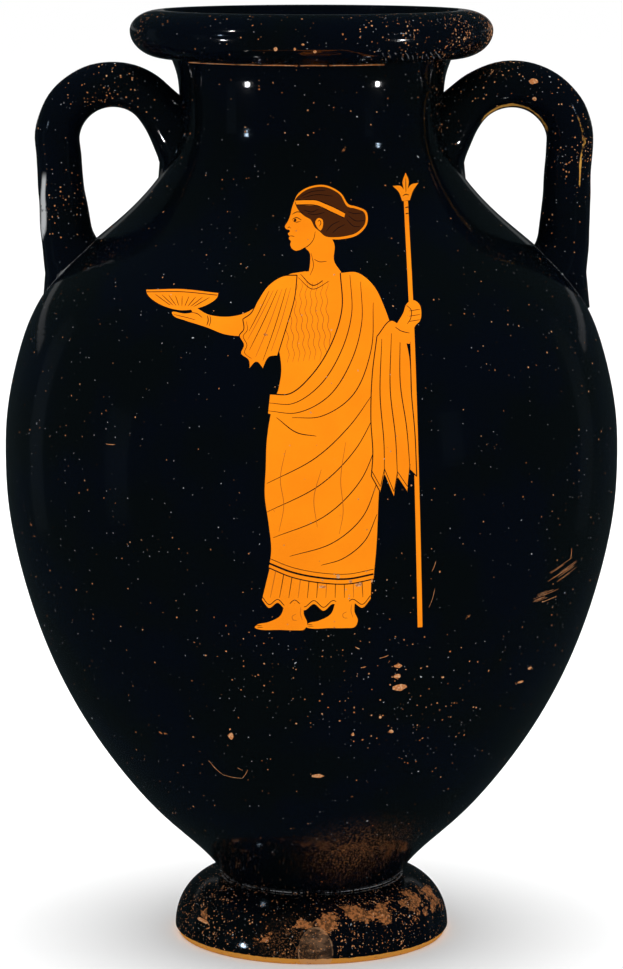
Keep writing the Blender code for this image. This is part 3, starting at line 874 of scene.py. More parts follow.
def inside(points, outline):
    """Whether each point lies inside the outline, by the winding rule."""
    turns = np.zeros(len(points), dtype=int)
    x, y = points.T
    for (ax, ay), (bx, by) in zip(outline, np.roll(outline, -1, axis=0)):
        left = (bx - ax) * (y - ay) - (x - ax) * (by - ay)
        turns += (ay <= y) & (by > y) & (left > 0)
        turns -= (ay > y) & (by <= y) & (left < 0)
    return turns != 0


def painted(middles, outlines):
    """The three paint marks of each face, from its middle: the last outline round it counts."""
    marks = np.zeros((len(middles), 3))
    for paint, outline in outlines:
        low = outline.min(axis=0)
        high = outline.max(axis=0)
        near = np.flatnonzero(np.all((middles > low) & (middles < high), axis=1))
        marks[near[inside(middles[near], outline)]] = PAINTS[paint]
    return marks


class Sheet:
    """A flat sheet of (angle, row of the line), with its faces and their marks."""

    def __init__(self, form):
        self.form = form
        self.points = []
        self.faces = []
        self.marks = []

    def add(self, points, faces, marks):
        first = len(self.points)
        self.points += [(float(angle), float(row), 0.0) for angle, row in points]
        self.faces += [tuple(first + int(i) for i in face) for face in faces]
        self.marks.append(np.asarray(marks, dtype=float))

    def add_plain(self, first, last, bare_from=None, bare_to=None):
        """Even faces between two rows of the line, all gloss but for the bare rows."""
        rows = self.form.rows(first, last)
        steps = self.form.sizes.steps
        angles = SEAM + 2 * math.pi * np.arange(steps + 1) / steps
        points = [(angle, row) for row in rows for angle in angles]
        faces = []
        marks = []
        for k, row in enumerate(rows[:-1]):
            bare = (bare_from is not None and row >= bare_from) or (bare_to is not None and row < bare_to)
            for j in range(steps):
                corner = k * (steps + 1) + j
                faces.append((corner, corner + steps + 1, corner + steps + 2, corner + 1))
                marks.append((0, 0, 0, bare, 0))
        self.add(points, faces, marks)

    def add_wall(self, drawings):
        """The wall, cut along every painted edge."""
        form = self.form
        around = form.sizes.belly_radius * MM
        steps = form.sizes.steps
        ways = [(SEAM + 2 * math.pi * k / steps) * around for k in range(steps + 1)]
        heights = [form.line[row][1] * MM for row in form.rows(form.wall_start, form.wall_end)]
        flat = [(way, height) for height in heights for way in ways]
        edges = []
        outlines = []
        for drawing, middle in drawings:
            for paint, points in drawing.layers:
                outline = unrolled(form, points, middle)
                count = len(outline)
                edges += [(len(flat) + k, len(flat) + (k + 1) % count) for k in range(count)]
                flat += [tuple(p) for p in outline]
                outlines.append((paint, outline))
        cut = delaunay_2d_cdt([Vector(p) for p in flat], edges, [], 0, CUT_ERROR, False)
        places = np.array([tuple(p) for p in cut[0]])
        faces = np.array(cut[2])
        middles = places[faces].mean(axis=1)
        marks = np.zeros((len(faces), len(FACE_MARKS)))
        marks[:, :3] = painted(middles, outlines)
        marks[:, 4] = 1
        top = heights[0]
        rise = top - heights[-1]
        rows = form.wall_start + (top - places[:, 1]) / rise * (form.wall_end - form.wall_start)
        self.add(np.stack((places[:, 0] / around, rows), axis=1), faces, marks)

    def mesh(self, name):
        made = bpy.data.meshes.new(name)
        made.from_pydata(self.points, [], self.faces)
        marks = np.concatenate(self.marks)
        for k, mark in enumerate(FACE_MARKS):
            layer = made.attributes.new(mark, "FLOAT", "FACE")
            layer.data.foreach_set("value", marks[:, k].astype(np.float32))
        return made


# Node trees


class Value:
    """One output of a node, used in plain arithmetic."""

    def __init__(self, tree, socket):
        self.tree = tree
        self.socket = socket

    def maths(self, operation, *values):
        return self.tree.node("ShaderNodeMath", {"operation": operation}, dict(enumerate(values)))

    def __add__(self, other):
        return self.maths("ADD", self, other)

    __radd__ = __add__

    def __sub__(self, other):
        return self.maths("SUBTRACT", self, other)

    def __rsub__(self, other):
        return self.maths("SUBTRACT", other, self)

    def __mul__(self, other):
        return self.maths("MULTIPLY", self, other)

    __rmul__ = __mul__

    def __truediv__(self, other):
        return self.maths("DIVIDE", self, other)

    def rise(self, low, high):
        """0 at low and below, 1 at high and above, smooth between them."""
        values = {"Value": self, "From Min": low, "From Max": high}
        return self.tree.node("ShaderNodeMapRange", {"interpolation_type": "SMOOTHSTEP"}, values)

    def most(self, other):
        return self.maths("MAXIMUM", self, other)


class Tree:
    """A node tree whose nodes come from one method."""

    def __init__(self, tree):
        self.tree = tree

    def node(self, kind, settings=None, values=None, output=0):
        made = self.tree.nodes.new(kind)
        for name, setting in (settings or {}).items():
            setattr(made, name, setting)
        for key, value in (values or {}).items():
            if isinstance(value, Value):
                self.tree.links.new(value.socket, made.inputs[key])
            else:
                made.inputs[key].default_value = value
        if isinstance(output, tuple):
            return [Value(self, made.outputs[name]) for name in output]
        return Value(self, made.outputs[output])

    def vector(self, operation, *values):
        return self.node("ShaderNodeVectorMath", {"operation": operation}, dict(enumerate(values)))

    def parts(self, vector):
        """The X, Y and Z of a vector."""
        return self.node("ShaderNodeSeparateXYZ", None, {0: vector}, ("X", "Y", "Z"))

    def scaled(self, vector, factor):
        return self.node("ShaderNodeVectorMath", {"operation": "SCALE"}, {0: vector, "Scale": factor})

    def blend(self, share, start, end):
        """A colour this share of the way from start to end."""
        values = {"Factor": share, 6: opaque(start), 7: opaque(end)}
        return self.node("ShaderNodeMix", {"data_type": "RGBA"}, values, output=2)

    def inputs(self, kinds):
        """Named inputs of a group, and the two that each group has, as values by name."""
        kinds = {**kinds, "Merge Distance": "Float", "Material": "Material"}
        for name, kind in kinds.items():
            self.tree.interface.new_socket(name=name, in_out="INPUT", socket_type="NodeSocket" + kind)
        self.tree.interface.new_socket(name="Geometry", in_out="OUTPUT", socket_type="NodeSocketGeometry")
        entry = self.tree.nodes.new("NodeGroupInput")
        return {name: Value(self, entry.outputs[name]) for name in kinds}

    def finish(self, geometry, given):
        """Welds the geometry, makes it real and gives it its material."""
        values = {"Geometry": geometry, "Distance": given["Merge Distance"]}
        welded = self.node("GeometryNodeMergeByDistance", None, values)
        real = self.node("GeometryNodeRealizeInstances", None, {"Geometry": welded})
        values = {"Geometry": real, "Material": given["Material"]}
        dressed = self.node("GeometryNodeSetMaterial", None, values)
        self.tree.links.new(dressed.socket, self.tree.nodes.new("NodeGroupOutput").inputs[0])


def opaque(shade):
    return shade if isinstance(shade, Value) else (*shade, 1.0)


def wheel_tree():
    """Turns a sheet of (angle, row) round the axis, along a profile of (radius, 0, height)."""
    tree = Tree(bpy.data.node_groups.new("wheel", "GeometryNodeTree"))
    given = tree.inputs({"Sheet": "Geometry", "Profile": "Object"})
    profile = tree.node("GeometryNodeObjectInfo", None, {"Object": given["Profile"]}, "Geometry")
    here = tree.node("GeometryNodeInputPosition")
    angle, row, _ = tree.parts(here)
    whole = row.maths("FLOOR", row)

    def station(index):
        settings = {"data_type": "FLOAT_VECTOR", "domain": "POINT", "clamp": True}
        values = {"Geometry": profile, "Value": here, "Index": index}
        return tree.node("GeometryNodeSampleIndex", settings, values)

    start = station(whole)
    way = tree.vector("SUBTRACT", station(whole + 1.0), start)
    place = tree.vector("ADD", start, tree.scaled(way, row - whole))
    radius, _, height = tree.parts(place)
    values = {
        "X": radius * angle.maths("SINE", angle),
        "Y": radius * angle.maths("COSINE", angle) * -1.0,
        "Z": height,
    }
    turned = tree.node("ShaderNodeCombineXYZ", None, values)
    values = {"Geometry": given["Sheet"], "Position": turned}
    moved = tree.node("GeometryNodeSetPosition", None, values)
    tree.finish(moved, given)
    return tree.tree


def rolled_tree():
    """Sweeps a round section along a line of points, by their attribute thickness."""
    tree = Tree(bpy.data.node_groups.new("rolled_clay", "GeometryNodeTree"))
    given = tree.inputs({"Centre Line": "Geometry", "Radius": "Float", "Sides": "Int"})
    line = tree.node("GeometryNodeMeshToCurve", None, {"Mesh": given["Centre Line"]})
    values = {"Resolution": given["Sides"], "Radius": given["Radius"]}
    section = tree.node("GeometryNodeCurvePrimitiveCircle", None, values)
    settings = {"data_type": "FLOAT"}
    thickness = tree.node("GeometryNodeInputNamedAttribute", settings, {"Name": "thickness"})
    values = {"Curve": line, "Profile Curve": section, "Scale": thickness, "Fill Caps": True}
    swept = tree.node("GeometryNodeCurveToMesh", None, values)
    tree.finish(swept, given)
    return tree.tree


def evaluated_mesh(obj):
    bpy.context.view_layer.update()
    graph = bpy.context.evaluated_depsgraph_get()
    return bpy.data.meshes.new_from_object(obj.evaluated_get(graph))


def add_object(name, data):
    made = bpy.data.objects.new(name, data)
    bpy.context.scene.collection.objects.link(made)
    return made


def shaped(name, mesh, tree, values):
    """The mesh that a node tree makes of a mesh, as a plain object."""
    made = add_object(name, mesh)
    modifier = made.modifiers.new(tree.name, "NODES")
    modifier.node_group = tree
    for item in tree.interface.items_tree:
        if item.in_out == "INPUT" and item.name in values:
            modifier[item.identifier] = values[item.name]
    finished = evaluated_mesh(made)
    made.modifiers.clear()
    made.data = finished
    return made


def combined(target, other, operation):
    """Adds other to target, or takes it away, and removes other."""
    boolean = target.modifiers.new(operation, "BOOLEAN")
    boolean.operation = operation
    boolean.solver = "MANIFOLD"
    boolean.object = other
    finished = evaluated_mesh(target)
    if not finished.polygons:
        raise RuntimeError("nothing is left of " + target.name)
    target.modifiers.clear()
    target.data = finished
    bpy.data.objects.remove(other)


# Turned parts and handles


def line_mesh(name, points, radii=None):
    """A line of joined points as a mesh, with a thickness for each point if radii are given."""
    made = bpy.data.meshes.new(name)
    made.from_pydata(points, [(k, k + 1) for k in range(len(points) - 1)], [])
    if radii is not None:
        layer = made.attributes.new("thickness", "FLOAT", "POINT")
        layer.data.foreach_set("value", radii)
    return made


def turned(name, sheet, line, tree, material):
    """The solid that the wheel makes of a sheet and its line."""
    profile = add_object(name + "_profile", line_mesh(name, [(r, 0.0, z) for r, z in line]))
    values = {"Profile": profile, "Merge Distance": WELD, "Material": material}
    made = shaped(name, sheet, tree, values)
    bpy.data.objects.remove(profile)
    return made


def whole_sheet(form):
    sheet = Sheet(form)
    sheet.add_plain(0, form.wall_start, bare_to=form.mouth_row)
    sheet.add_wall(((front_figure(), 0.0), (back_figure(), math.pi), (damage(), 0.0)))
    last = len(form.line) - 1
    ring = next(k for k in range(form.wall_end, last) if form.line[k][1] < WELD)
    sheet.add_plain(form.wall_end, last, bare_from=ring)
    return sheet.mesh("amphora_sheet")


def wall_core(form, tree, material):
    """The inside up to half way into the wall round the handles, which trims their buried ends."""
    core = Form(form.sizes)
    half_way = form.depth_line(form.sizes.wall / 2, form.sizes.belly_height)
    core.line = [(0.0, half_way[0][1])] + half_way + [(0.0, half_way[-1][1])]
    core.line.reverse()
    sheet = Sheet(core)
    sheet.add_plain(0, len(core.line) - 1)
    return turned("wall_core", sheet.mesh("wall_core"), core.line, tree, material)


class Handle:
    """One handle, at side -1 (left) or +1 (right) along X."""

    def __init__(self, form, sizes, side):
        which = 0 if side < 0 else 1
        self.form = form
        self.sizes = sizes
        self.side = side
        self.radius = sizes.radius[which]
        self.swell = sizes.lower_radius[which] / self.radius
        self.middle = form.sizes.neck_radius + sizes.middle[which]
        upper = form.sizes.height - sizes.upper_drop
        lower = form.sizes.height - sizes.lower_drop
        self.upper = (float(form.outer(upper)) - sizes.upper_sink, upper)
        self.lower = (float(form.outer(lower)) - sizes.lower_sink[which], lower)
        self.reach = self.lower[0] + sizes.overhang[which]
        self.arch_height = form.sizes.height - sizes.top_drop - sizes.bend
        self.across, self.along, self.length = self.curves()

    def curves(self):
        """The centre line from neck to shoulder, as distance from the axis and height by length."""
        half_width = self.reach - self.middle
        centre = (self.middle, self.arch_height)
        arch = arc(centre, half_width, self.sizes.bend, ARCH_START, ARCH_END, ARCH_POINTS)
        points = [self.upper] + arch + [share_of_way(arch[-1], self.lower, KNEE), self.lower]
        travelled = [0.0]
        for a, b in zip(points, points[1:]):
            travelled.append(travelled[-1] + math.dist(a, b))
        across = natural_spline(list(zip(travelled, [p[0] for p in points])))
        along = natural_spline(list(zip(travelled, [p[1] for p in points])))
        return across, along, travelled[-1]

    def centre_line(self):
        """Points of the centre line and their thickness, with both ends run on inside the wall."""
        depth = self.sizes.root_depth
        points = [(self.upper[0], self.upper[1] - depth)]
        radii = [1.0]
        for t in np.linspace(0.0, self.length, self.sizes.points):
            near = max(0.0, 1.0 - (self.length - t) / self.sizes.flare)
            eased = near * near * (3.0 - 2.0 * near)
            points.append((float(self.across(t)), float(self.along(t))))
            radii.append(between(1.0, self.swell, eased))
        points.append((self.lower[0], self.lower[1] - depth))
        radii.append(self.swell)
        return [(self.side * across, 0.0, height) for across, height in points], radii

    def build(self, tree, material):
        name = "handle_left" if self.side < 0 else "handle_right"
        points, radii = self.centre_line()
        values = {
            "Radius": self.radius,
            "Sides": self.sizes.sides,
            "Merge Distance": WELD,
            "Material": material,
        }
        made = shaped(name, line_mesh(name, points, radii), tree, values)
        self.smooth_roots(made.data, np.array(points))
        for mark in FACE_MARKS:
            made.data.attributes.new(mark, "FLOAT", "FACE")
        return made

    def smooth_roots(self, mesh, line):
        """Spreads the clay where it meets the wall, and lets the rolled surface wander a little."""
        places = vertex_places(mesh)
        nearest = np.argmin(np.linalg.norm(places[:, None] - line[None], axis=2), axis=1)
        out = places - line[nearest]
        out[:, 1] = places[:, 1]
        out /= np.maximum(np.linalg.norm(out, axis=1), WELD)[:, None]
        away = wall_distance(self.form, places)
        near = np.clip(1.0 - away / self.sizes.fillet_reach, 0.0, 1.0)
        grown = self.sizes.fillet * near**2
        x, y, z = (places * WANDER).T
        wander = np.sin(x + 1.7 * np.sin(z)) * np.cos(0.9 * z + 1.3 * y + self.side)
        grown += self.sizes.unevenness * wander
        places += out * grown[:, None]
        mesh.vertices.foreach_set("co", places.astype(np.float32).ravel())
        mesh.update()


def read(collection, name, width=1, kind=np.float32):
    """What each item of a mesh's collection holds, as an array of this width."""
    made = np.empty(len(collection) * width, dtype=kind)
    collection.foreach_get(name, made)
    return made.reshape(-1, width) if width > 1 else made


def vertex_places(mesh):
    return read(mesh.vertices, "co", 3).astype(float)


def wall_distance(form, places):
    """How far each place lies outside the wall's outer surface."""
    radius = np.hypot(places[:, 0], places[:, 1])
    height = np.clip(places[:, 2], form.joint_height, form.lip_underside)
    return (radius - form.outer(height)) / np.hypot(1.0, form.slope(height))


def set_wall_normals(mesh, form):
    """Gives the corners of the wall's faces the exact normals of the turned curve."""
    normals = read(mesh.corner_normals, "vector", 3)
    vertex = read(mesh.loops, "vertex_index", kind=np.int32)
    corners = read(mesh.polygons, "loop_total", kind=np.int32)
    wall = read(mesh.attributes["wall"].data, "value")
    on_wall = np.repeat(wall > 0.5, corners)
    places = vertex_places(mesh)[vertex[on_wall]]
    radius = np.hypot(places[:, 0], places[:, 1])
    slope = form.slope(places[:, 2])
    exact = np.stack((places[:, 0] / radius, places[:, 1] / radius, -slope), axis=1)
    normals[on_wall] = exact / np.hypot(1.0, slope)[:, None]
    mesh.normals_split_custom_set(normals.tolist())


# Wear, as (x, y, z, reach, amount) in millimetres: the share of the slip lost in flecks about a place
WORN = (
    (38, -66, 408, 17, 0.55), (62, -48, 405, 18, 0.75), (77, -12, 404, 22, 0.95),
    (-74, -26, 408, 9, 0.60), (-20, -74, 410, 30, 0.10), (56, -14, 380, 12, 0.50),
    (56, -12, 366, 12, 0.35), (-88, -8, 380, 15, 0.50), (-110, -8, 330, 12, 0.55),
    (102, -8, 380, 15, 0.35), (118, -8, 352, 16, 0.55), (96, -12, 375, 8, 0.40), (118, -6, 318, 14, 0.20),
    (-24, -128, 150, 26, 0.16), (20, -125, 142, 30, 0.20), (42, -104, 120, 26, 0.22),
    (22, -128, 176, 22, 0.14), (104, -72, 168, 14, 0.16), (-58, 100, 150, 60, 0.12),
    (50, 110, 200, 60, 0.10),
)
LEAST_WEAR = 0.03
# The wear of the foot all round, and what is added to it, as (angle from the front, reach, amount)
FOOT_WEAR = 0.42
FOOT_WEAR_SIDES = ((-0.95, 0.45, 0.26), (0.6, 0.75, 0.24))
# The brown slip above the foot and the ragged bare patches on the foot, laid out as in WORN
MISFIRED = ((20, -58, 50, 26, 0.75), (-37, -52, 59, 8, 0.25), (-8, -61, 6, 15, 0.8))
PATCHES = (
    (-20, -57, 13, 8, 0.7), (-6, -57, 17, 7, 0.8), (8, -56, 19, 9, 0.9), (20, -52, 19, 9, 1),
    (32, -46, 20, 10, 1), (46, -33, 20, 11, 1.1), (56, -16, 20, 12, 1.1), (-48, -34, 16, 4, 0.8),
    (-30, 50, 14, 16, 0.9),
)
POINT_MARKS = ("wear", "thin", "misfired", "patch")
# The two thin streaks of the right handle, as (how much they face the middle of its arch, half width)
INNER_STREAK = (0.87, 0.09)
OUTER_STREAK = (-0.47, 0.08)
# Single chips of the lip, the foot and the right handle, as (x, z, half width, half height) in
# millimetres, on the front
SPOTS = (
    (-15, 401, 0.8, 0.9), (-7, 401, 0.5, 0.6), (-3.6, 403, 0.6, 0.4), (1.4, 400, 0.6, 0.6),
    (-48.6, 13, 2.6, 0.8), (97, 384.2, 2.2, 1.4), (97.6, 376.5, 0.9, 0.8),
)
# A round stain on the front of the foot, in metres: x and z of its middle, half width and half height
STAIN = (0.0018, 0.0060, 0.0078, 0.0105)
# Where the rows of small strokes stand on the lip's underside: lowest and highest x and z
STROKES_X = (0.030, 0.055)
STROKES_Z = (0.3958, 0.3990)
STROKES_IN_A_METRE = 430.0


def nearness(places, spot):
    """How near each place lies to a spot of (x, y, z, reach, amount), from 0 to its amount."""
    *middle, reach, amount = spot
    away = np.linalg.norm(places * MM - np.array(middle), axis=1) / reach
    return amount * np.exp(-(away**2))


def wear_marks(places, form):
    """How much each place is worn, how brown its slip stayed, and how bare a patch it is in."""
    wear = np.maximum.reduce([nearness(places, spot) for spot in WORN]) + LEAST_WEAR
    misfired = np.maximum.reduce([nearness(places, spot) for spot in MISFIRED])
    patch = np.maximum.reduce([nearness(places, spot) for spot in PATCHES])
    on_foot = places[:, 2] < form.sizes.foot_height + 0.0007
    angle = np.arctan2(places[:, 0], -places[:, 1])
    foot = np.full(len(places), FOOT_WEAR)
    for middle, reach, added in FOOT_WEAR_SIDES:
        foot += added * np.exp(-(((angle - middle) / reach) ** 2))
    return np.where(on_foot, foot, wear), misfired, patch * on_foot


def thin_slip(places, handles, form):
    """Where the slip is rubbed thin along the inner and the outer side of the right handle."""
    thin = np.zeros(len(places))
    handle = handles[1]
    own = (wall_distance(form, places) > 0.002) & (places[:, 0] * handle.side > 0)
    own &= (places[:, 2] > form.sizes.belly_height) & (places[:, 2] < form.lip_underside)
    mine = places[own]
    line = np.array(handle.centre_line()[0])
    nearest = np.argmin(np.linalg.norm(mine[:, None] - line[None], axis=2), axis=1)
    out = mine - line[nearest]
    out /= np.linalg.norm(out, axis=1)[:, None]
    eye = np.array((handle.side * handle.middle, 0.0, handle.arch_height - handle.sizes.bend / 2))
    inward = eye - line[nearest]
    inward /= np.linalg.norm(inward, axis=1)[:, None]
    facing = np.sum(out * inward, axis=1)
    front = out[:, 1] < 0.1
    share = nearest / (len(line) - 1)
    inner = np.interp(share, (0.12, 0.2, 0.42, 0.55, 0.72, 0.8), (0.0, 1.0, 1.0, 0.6, 0.4, 0.0))
    outer = np.interp(mine[:, 2], (0.325, 0.342, 0.366, 0.378), (0.0, 1.0, 1.0, 0.0)) * (share > 0.5)
    band = 0.0
    for amount, (middle, half_width) in ((inner, INNER_STREAK), (outer, OUTER_STREAK)):
        band += amount * np.exp(-(((facing - middle) / half_width) ** 2))
    thin[own] = band * front
    return thin


def mark_wear(mesh, handles, form):
    places = vertex_places(mesh)
    wear, misfired, patch = wear_marks(places, form)
    thin = thin_slip(places, handles, form)
    for name, amounts in zip(POINT_MARKS, (wear, thin, misfired, patch)):
        layer = mesh.attributes.new(name, "FLOAT", "POINT")
        layer.data.foreach_set("value", np.clip(amounts, 0.0, 1.0).astype(np.float32))


# The fired surface

# Bare clay shines this little
CLAY_SHINE = 0.02
# The worn band of the foot: the square of its inner radius, and its top
BAND_INSIDE = 0.0033
BAND_TOP = 0.0031
# Inner and outer radius of the dusty ring at the foot's joint, and of the painted highlight along the
# lip's crest
FOOT_JOINT = (0.0404, 0.0414)
CREST_HIGHLIGHT = (0.0646, 0.0660)
# Between these heights a painted highlight, a thin pale line, runs along the handles' lower roots
ROOT_HIGHLIGHT = (0.25, 0.340)


class Surface(Tree):
    """A material's tree, with the patterns that its finish is made of."""

    def __init__(self, material):
        super().__init__(material.node_tree)
        self.place = self.node("ShaderNodeTexCoord", output="Object")
        self.across, self.depth, self.height = self.parts(self.place)

    def mark(self, name):
        return self.node("ShaderNodeAttribute", {"attribute_name": name}, output="Fac")

    def shifted(self, shift, stretch=(1.0, 1.0, 1.0)):
        """Object coordinates, moved so that two patterns differ, and stretched."""
        values = {"Vector": self.place, "Location": (shift, -0.6 * shift, 0.3 * shift), "Scale": stretch}
        return self.node("ShaderNodeMapping", None, values)

    def noise(self, scale, detail=2.0, shift=0.0, stretch=(1.0, 1.0, 1.0), roughness=0.5):
        values = {
            "Vector": self.shifted(shift, stretch),
            "Scale": scale,
            "Detail": detail,
            "Roughness": roughness,
        }
        return self.node("ShaderNodeTexNoise", None, values, "Fac")

    def rings(self, scale):
        """Uneven bands round the axis, as fingers leave on the wheel."""
        values = {"W": self.height, "Scale": scale, "Detail": 2.0}
        return self.node("ShaderNodeTexNoise", {"noise_dimensions": "1D"}, values, "Fac")

    def specks(self, scale, size, share, shift=0.0):
        """Small ragged dots, in this share of the cells of a grid."""
        values = {"Vector": self.place, "Scale": scale * 3.0, "Detail": 1.0}
        jitter = self.node("ShaderNodeTexNoise", None, values, "Color")
        ragged = self.vector("ADD", self.shifted(shift), self.scaled(jitter, 0.5 / scale))
        values = {"Vector": ragged, "Scale": scale}
        away, cell = self.node("ShaderNodeTexVoronoi", None, values, ("Distance", "Color"))
        chance, other = self.node("ShaderNodeSeparateColor", None, {0: cell}, (0, 1))
        there = chance.rise(1.0 - share, 1.01 - share)
        return there * (away / (0.35 + other)).rise(size, 0.6 * size)

    def spots(self, ragged):
        """The single chips of the front, where the ragged noise lets them be."""
        there = None
        for x, z, half_width, half_height in SPOTS:
            aside = (self.across - x / MM) * (MM / half_width)
            above = (self.height - z / MM) * (MM / half_height)
            away = aside * aside + above * above + ragged * 2.4 - 1.2
            chip = away.rise(1.1, 0.8)
            there = chip if there is None else there.most(chip)
        return there * self.depth.rise(0.0, -0.001)

    def stain(self):
        """How far each place lies from the middle of the stain, its edge being at 1."""
        x, z, half_width, half_height = STAIN
        aside = (self.across - x) * (1.0 / half_width)
        above = (self.height - z) * (1.0 / half_height)
        behind = self.depth.rise(-0.030, -0.020)
        return aside * aside + above * above + behind * 9.0

    def window(self, value, low, high, soft):
        """1 between low and high, 0 outside them."""
        return value.rise(low - soft, low) * value.rise(high + soft, high)

    def strokes(self):
        """Rows of shallow upright strokes that the front of the lip bears."""
        way = self.across * STROKES_IN_A_METRE + self.height * 160.0 + self.noise(90.0) * 2.6
        line = self.window(way.maths("FRACT", way), 0.1, 0.2, 0.08) * self.noise(300.0).rise(0.44, 0.52)
        line = line * self.window(self.across, *STROKES_X, 0.001)
        return line * self.window(self.height, *STROKES_Z, 0.0002) * self.depth.rise(0.0, -0.001)

    def joint_line(self, handle):
        """A painted highlight: a thin pale line on the wall along the front of a handle's lower root."""
        aside = self.across - handle.side * handle.lower[0]
        square = aside * aside + self.depth * self.depth
        away = square.maths("SQRT", square)
        reach = handle.radius * handle.swell + handle.sizes.fillet
        ring = away.rise(reach - 0.0002, reach + 0.0001) * away.rise(reach + 0.0008, reach + 0.0004)
        front = self.depth.rise(-0.0015, -0.006) * self.window(self.height, *ROOT_HIGHLIGHT, 0.005)
        return ring * front


def fired_surface(colours, handles):
    """Black gloss, reserved clay, washes, chips and bare clay, told apart by the marks on the faces."""
    material = bpy.data.materials.new("black_gloss_and_clay")
    material.use_nodes = True
    material.node_tree.nodes.remove(material.node_tree.nodes["Principled BSDF"])
    s = Surface(material)
    fine = s.noise(1400.0, 1.0, 3.1)
    middle = s.noise(260.0, 3.0, 1.7)
    broad = s.noise(24.0, 3.0)
    wear = s.mark("wear")
    bare = s.mark("bare")
    reserved = s.mark("reserved")
    wash = s.mark("wash")
    grain = s.noise(1150.0, 2.0, 5.0, roughness=0.7).rise(0.51, 0.60)

    # What the brush left: clay free of slip, and the band along the foot's lower edge
    squared = s.across * s.across + s.depth * s.depth
    outer = squared.rise(BAND_INSIDE, BAND_INSIDE + 0.0001)
    edge = s.height + (middle - 0.5) * 0.0012
    band = edge.rise(BAND_TOP, BAND_TOP - 0.0004) * outer

    # Slip lost in flecks and in ragged patches, single chips, grey flecks at the foot's joint, specks of
    # dust with painted glints among them, and painted highlights on the lip's crest and along the
    # handles' lower roots
    ragged = s.noise(95.0, 5.0, 9.0, (1.0, 1.0, 2.0), 0.72)
    crumbs = s.noise(760.0, 2.0, 2.3, roughness=0.62) * 0.8 + s.noise(110.0, 2.0, 6.0) * 0.2
    flecks = (crumbs + wear * 0.23).rise(0.775, 0.800).most(s.specks(820.0, 0.30, wear * 0.55))
    patch = (ragged + middle * 0.3 + s.mark("patch") * 0.30).rise(0.87, 0.90)
    radius = squared.maths("SQRT", squared)
    foot_joint = s.window(radius, *FOOT_JOINT, 0.0002) * s.height.rise(0.0275, 0.0270)
    foot_joint = foot_joint * (crumbs + ragged * 0.5).rise(0.74, 0.80)
    # Painted highlight: a faint pale line along the front of the lip's crest
    crest = s.window(radius, *CREST_HIGHLIGHT, 0.0005) * s.height.rise(0.4130, 0.4140)
    crest = crest * s.depth.rise(0.010, -0.010) * (0.10 + middle * 0.25)
    # Painted highlight: thin pale lines where the handles' lower roots meet the wall
    root_highlights = s.joint_line(handles[0]).most(s.joint_line(handles[1])) * middle.rise(0.30, 0.42) * 0.8
    chipped = s.mark("chipped").most(s.spots(middle))
    lost = chipped.most(flecks)
    # Pale specks: dust, with painted glints on tiny bumps among them
    dust_and_highlights = s.specks(190.0, 0.07, 0.06 + wear * 0.8, 4.0)
    dust_and_highlights = dust_and_highlights.most(s.specks(760.0, 0.16, 0.05 + wear * 0.6, 8.0) * 0.6)
    # Then the strokes and the pale lines: grey flecks at the foot's joint, and painted highlights on the
    # lip's crest and along the handles' lower roots
    for pale_mark in (s.strokes() * 0.22, crest, foot_joint, root_highlights):
        dust_and_highlights = dust_and_highlights.most(pale_mark)
    dust_and_highlights = dust_and_highlights * (1.0 - bare) * (1.0 - reserved)

    # Colours
    gloss = s.blend(broad.rise(0.38, 0.62), colours.gloss, colours.gloss_blue)
    gloss = s.blend(s.mark("misfired").rise(0.1, 0.8) * grain, gloss, colours.misfired)
    thin = (s.mark("thin") + (ragged - 0.5) * 1.2).rise(0.58, 0.80)
    gloss = s.blend(thin, gloss, colours.thin)
    clay = s.blend(broad.rise(0.35, 0.65) * 0.6 + middle * 0.3, colours.clay, colours.clay_deep)
    washed = s.blend(wash.rise(0.0, 0.5), clay, colours.wash)
    washed = s.blend(wash.rise(0.55, 1.0), washed, colours.hair)
    crust = s.blend(crumbs.rise(0.46, 0.57), colours.misfired, colours.chip)
    away = s.stain()
    rim = s.window(away, 0.86, 0.97, 0.04) * middle.rise(0.35, 0.6) * 0.4
    stain = away.rise(1.0, 0.95) * (0.04 + ragged.rise(0.42, 0.62) * 0.20 + band * 0.4)
    fresh = s.blend(fine.rise(0.47, 0.60), colours.chip, colours.chip_pale)
    core = s.blend(middle.rise(0.3, 0.7), colours.core, colours.chip)
    surface = gloss
    for share, shade in (
        (reserved, washed),
        (band, colours.band),
        (patch * (1.0 - band), crust),
        (stain.most(rim), colours.chip_pale),
        (lost, fresh),
        (dust_and_highlights, colours.dust_and_highlights),
        (bare, core),
    ):
        surface = s.blend(share, surface, shade)

    # Relief, and the mix of glossy slip with matt clay
    relief = s.rings(420.0) * 0.000035 + broad * 0.00012 + fine * 0.000008 - flecks * 0.00008
    bump = s.node("ShaderNodeBump", None, {"Height": relief, "Strength": 1.0, "Distance": 1.0}, "Normal")
    rough = colours.gloss_roughness + (middle - 0.5) * 0.04 + wear * 0.05
    values = {"Base Color": surface, "Normal": bump}
    glossy = s.node("ShaderNodeBsdfPrincipled", None, {**values, "Roughness": rough})
    matt = {**values, "Roughness": colours.clay_roughness, "Specular IOR Level": CLAY_SHINE}
    matt = s.node("ShaderNodeBsdfPrincipled", None, matt)
    dull = reserved.most(band).most(patch).most(lost).most(bare)
    both = s.node("ShaderNodeMixShader", None, {0: dull, 1: glossy, 2: matt})
    s.tree.links.new(both.socket, s.tree.nodes["Material Output"].inputs["Surface"])
    return material


# Stage


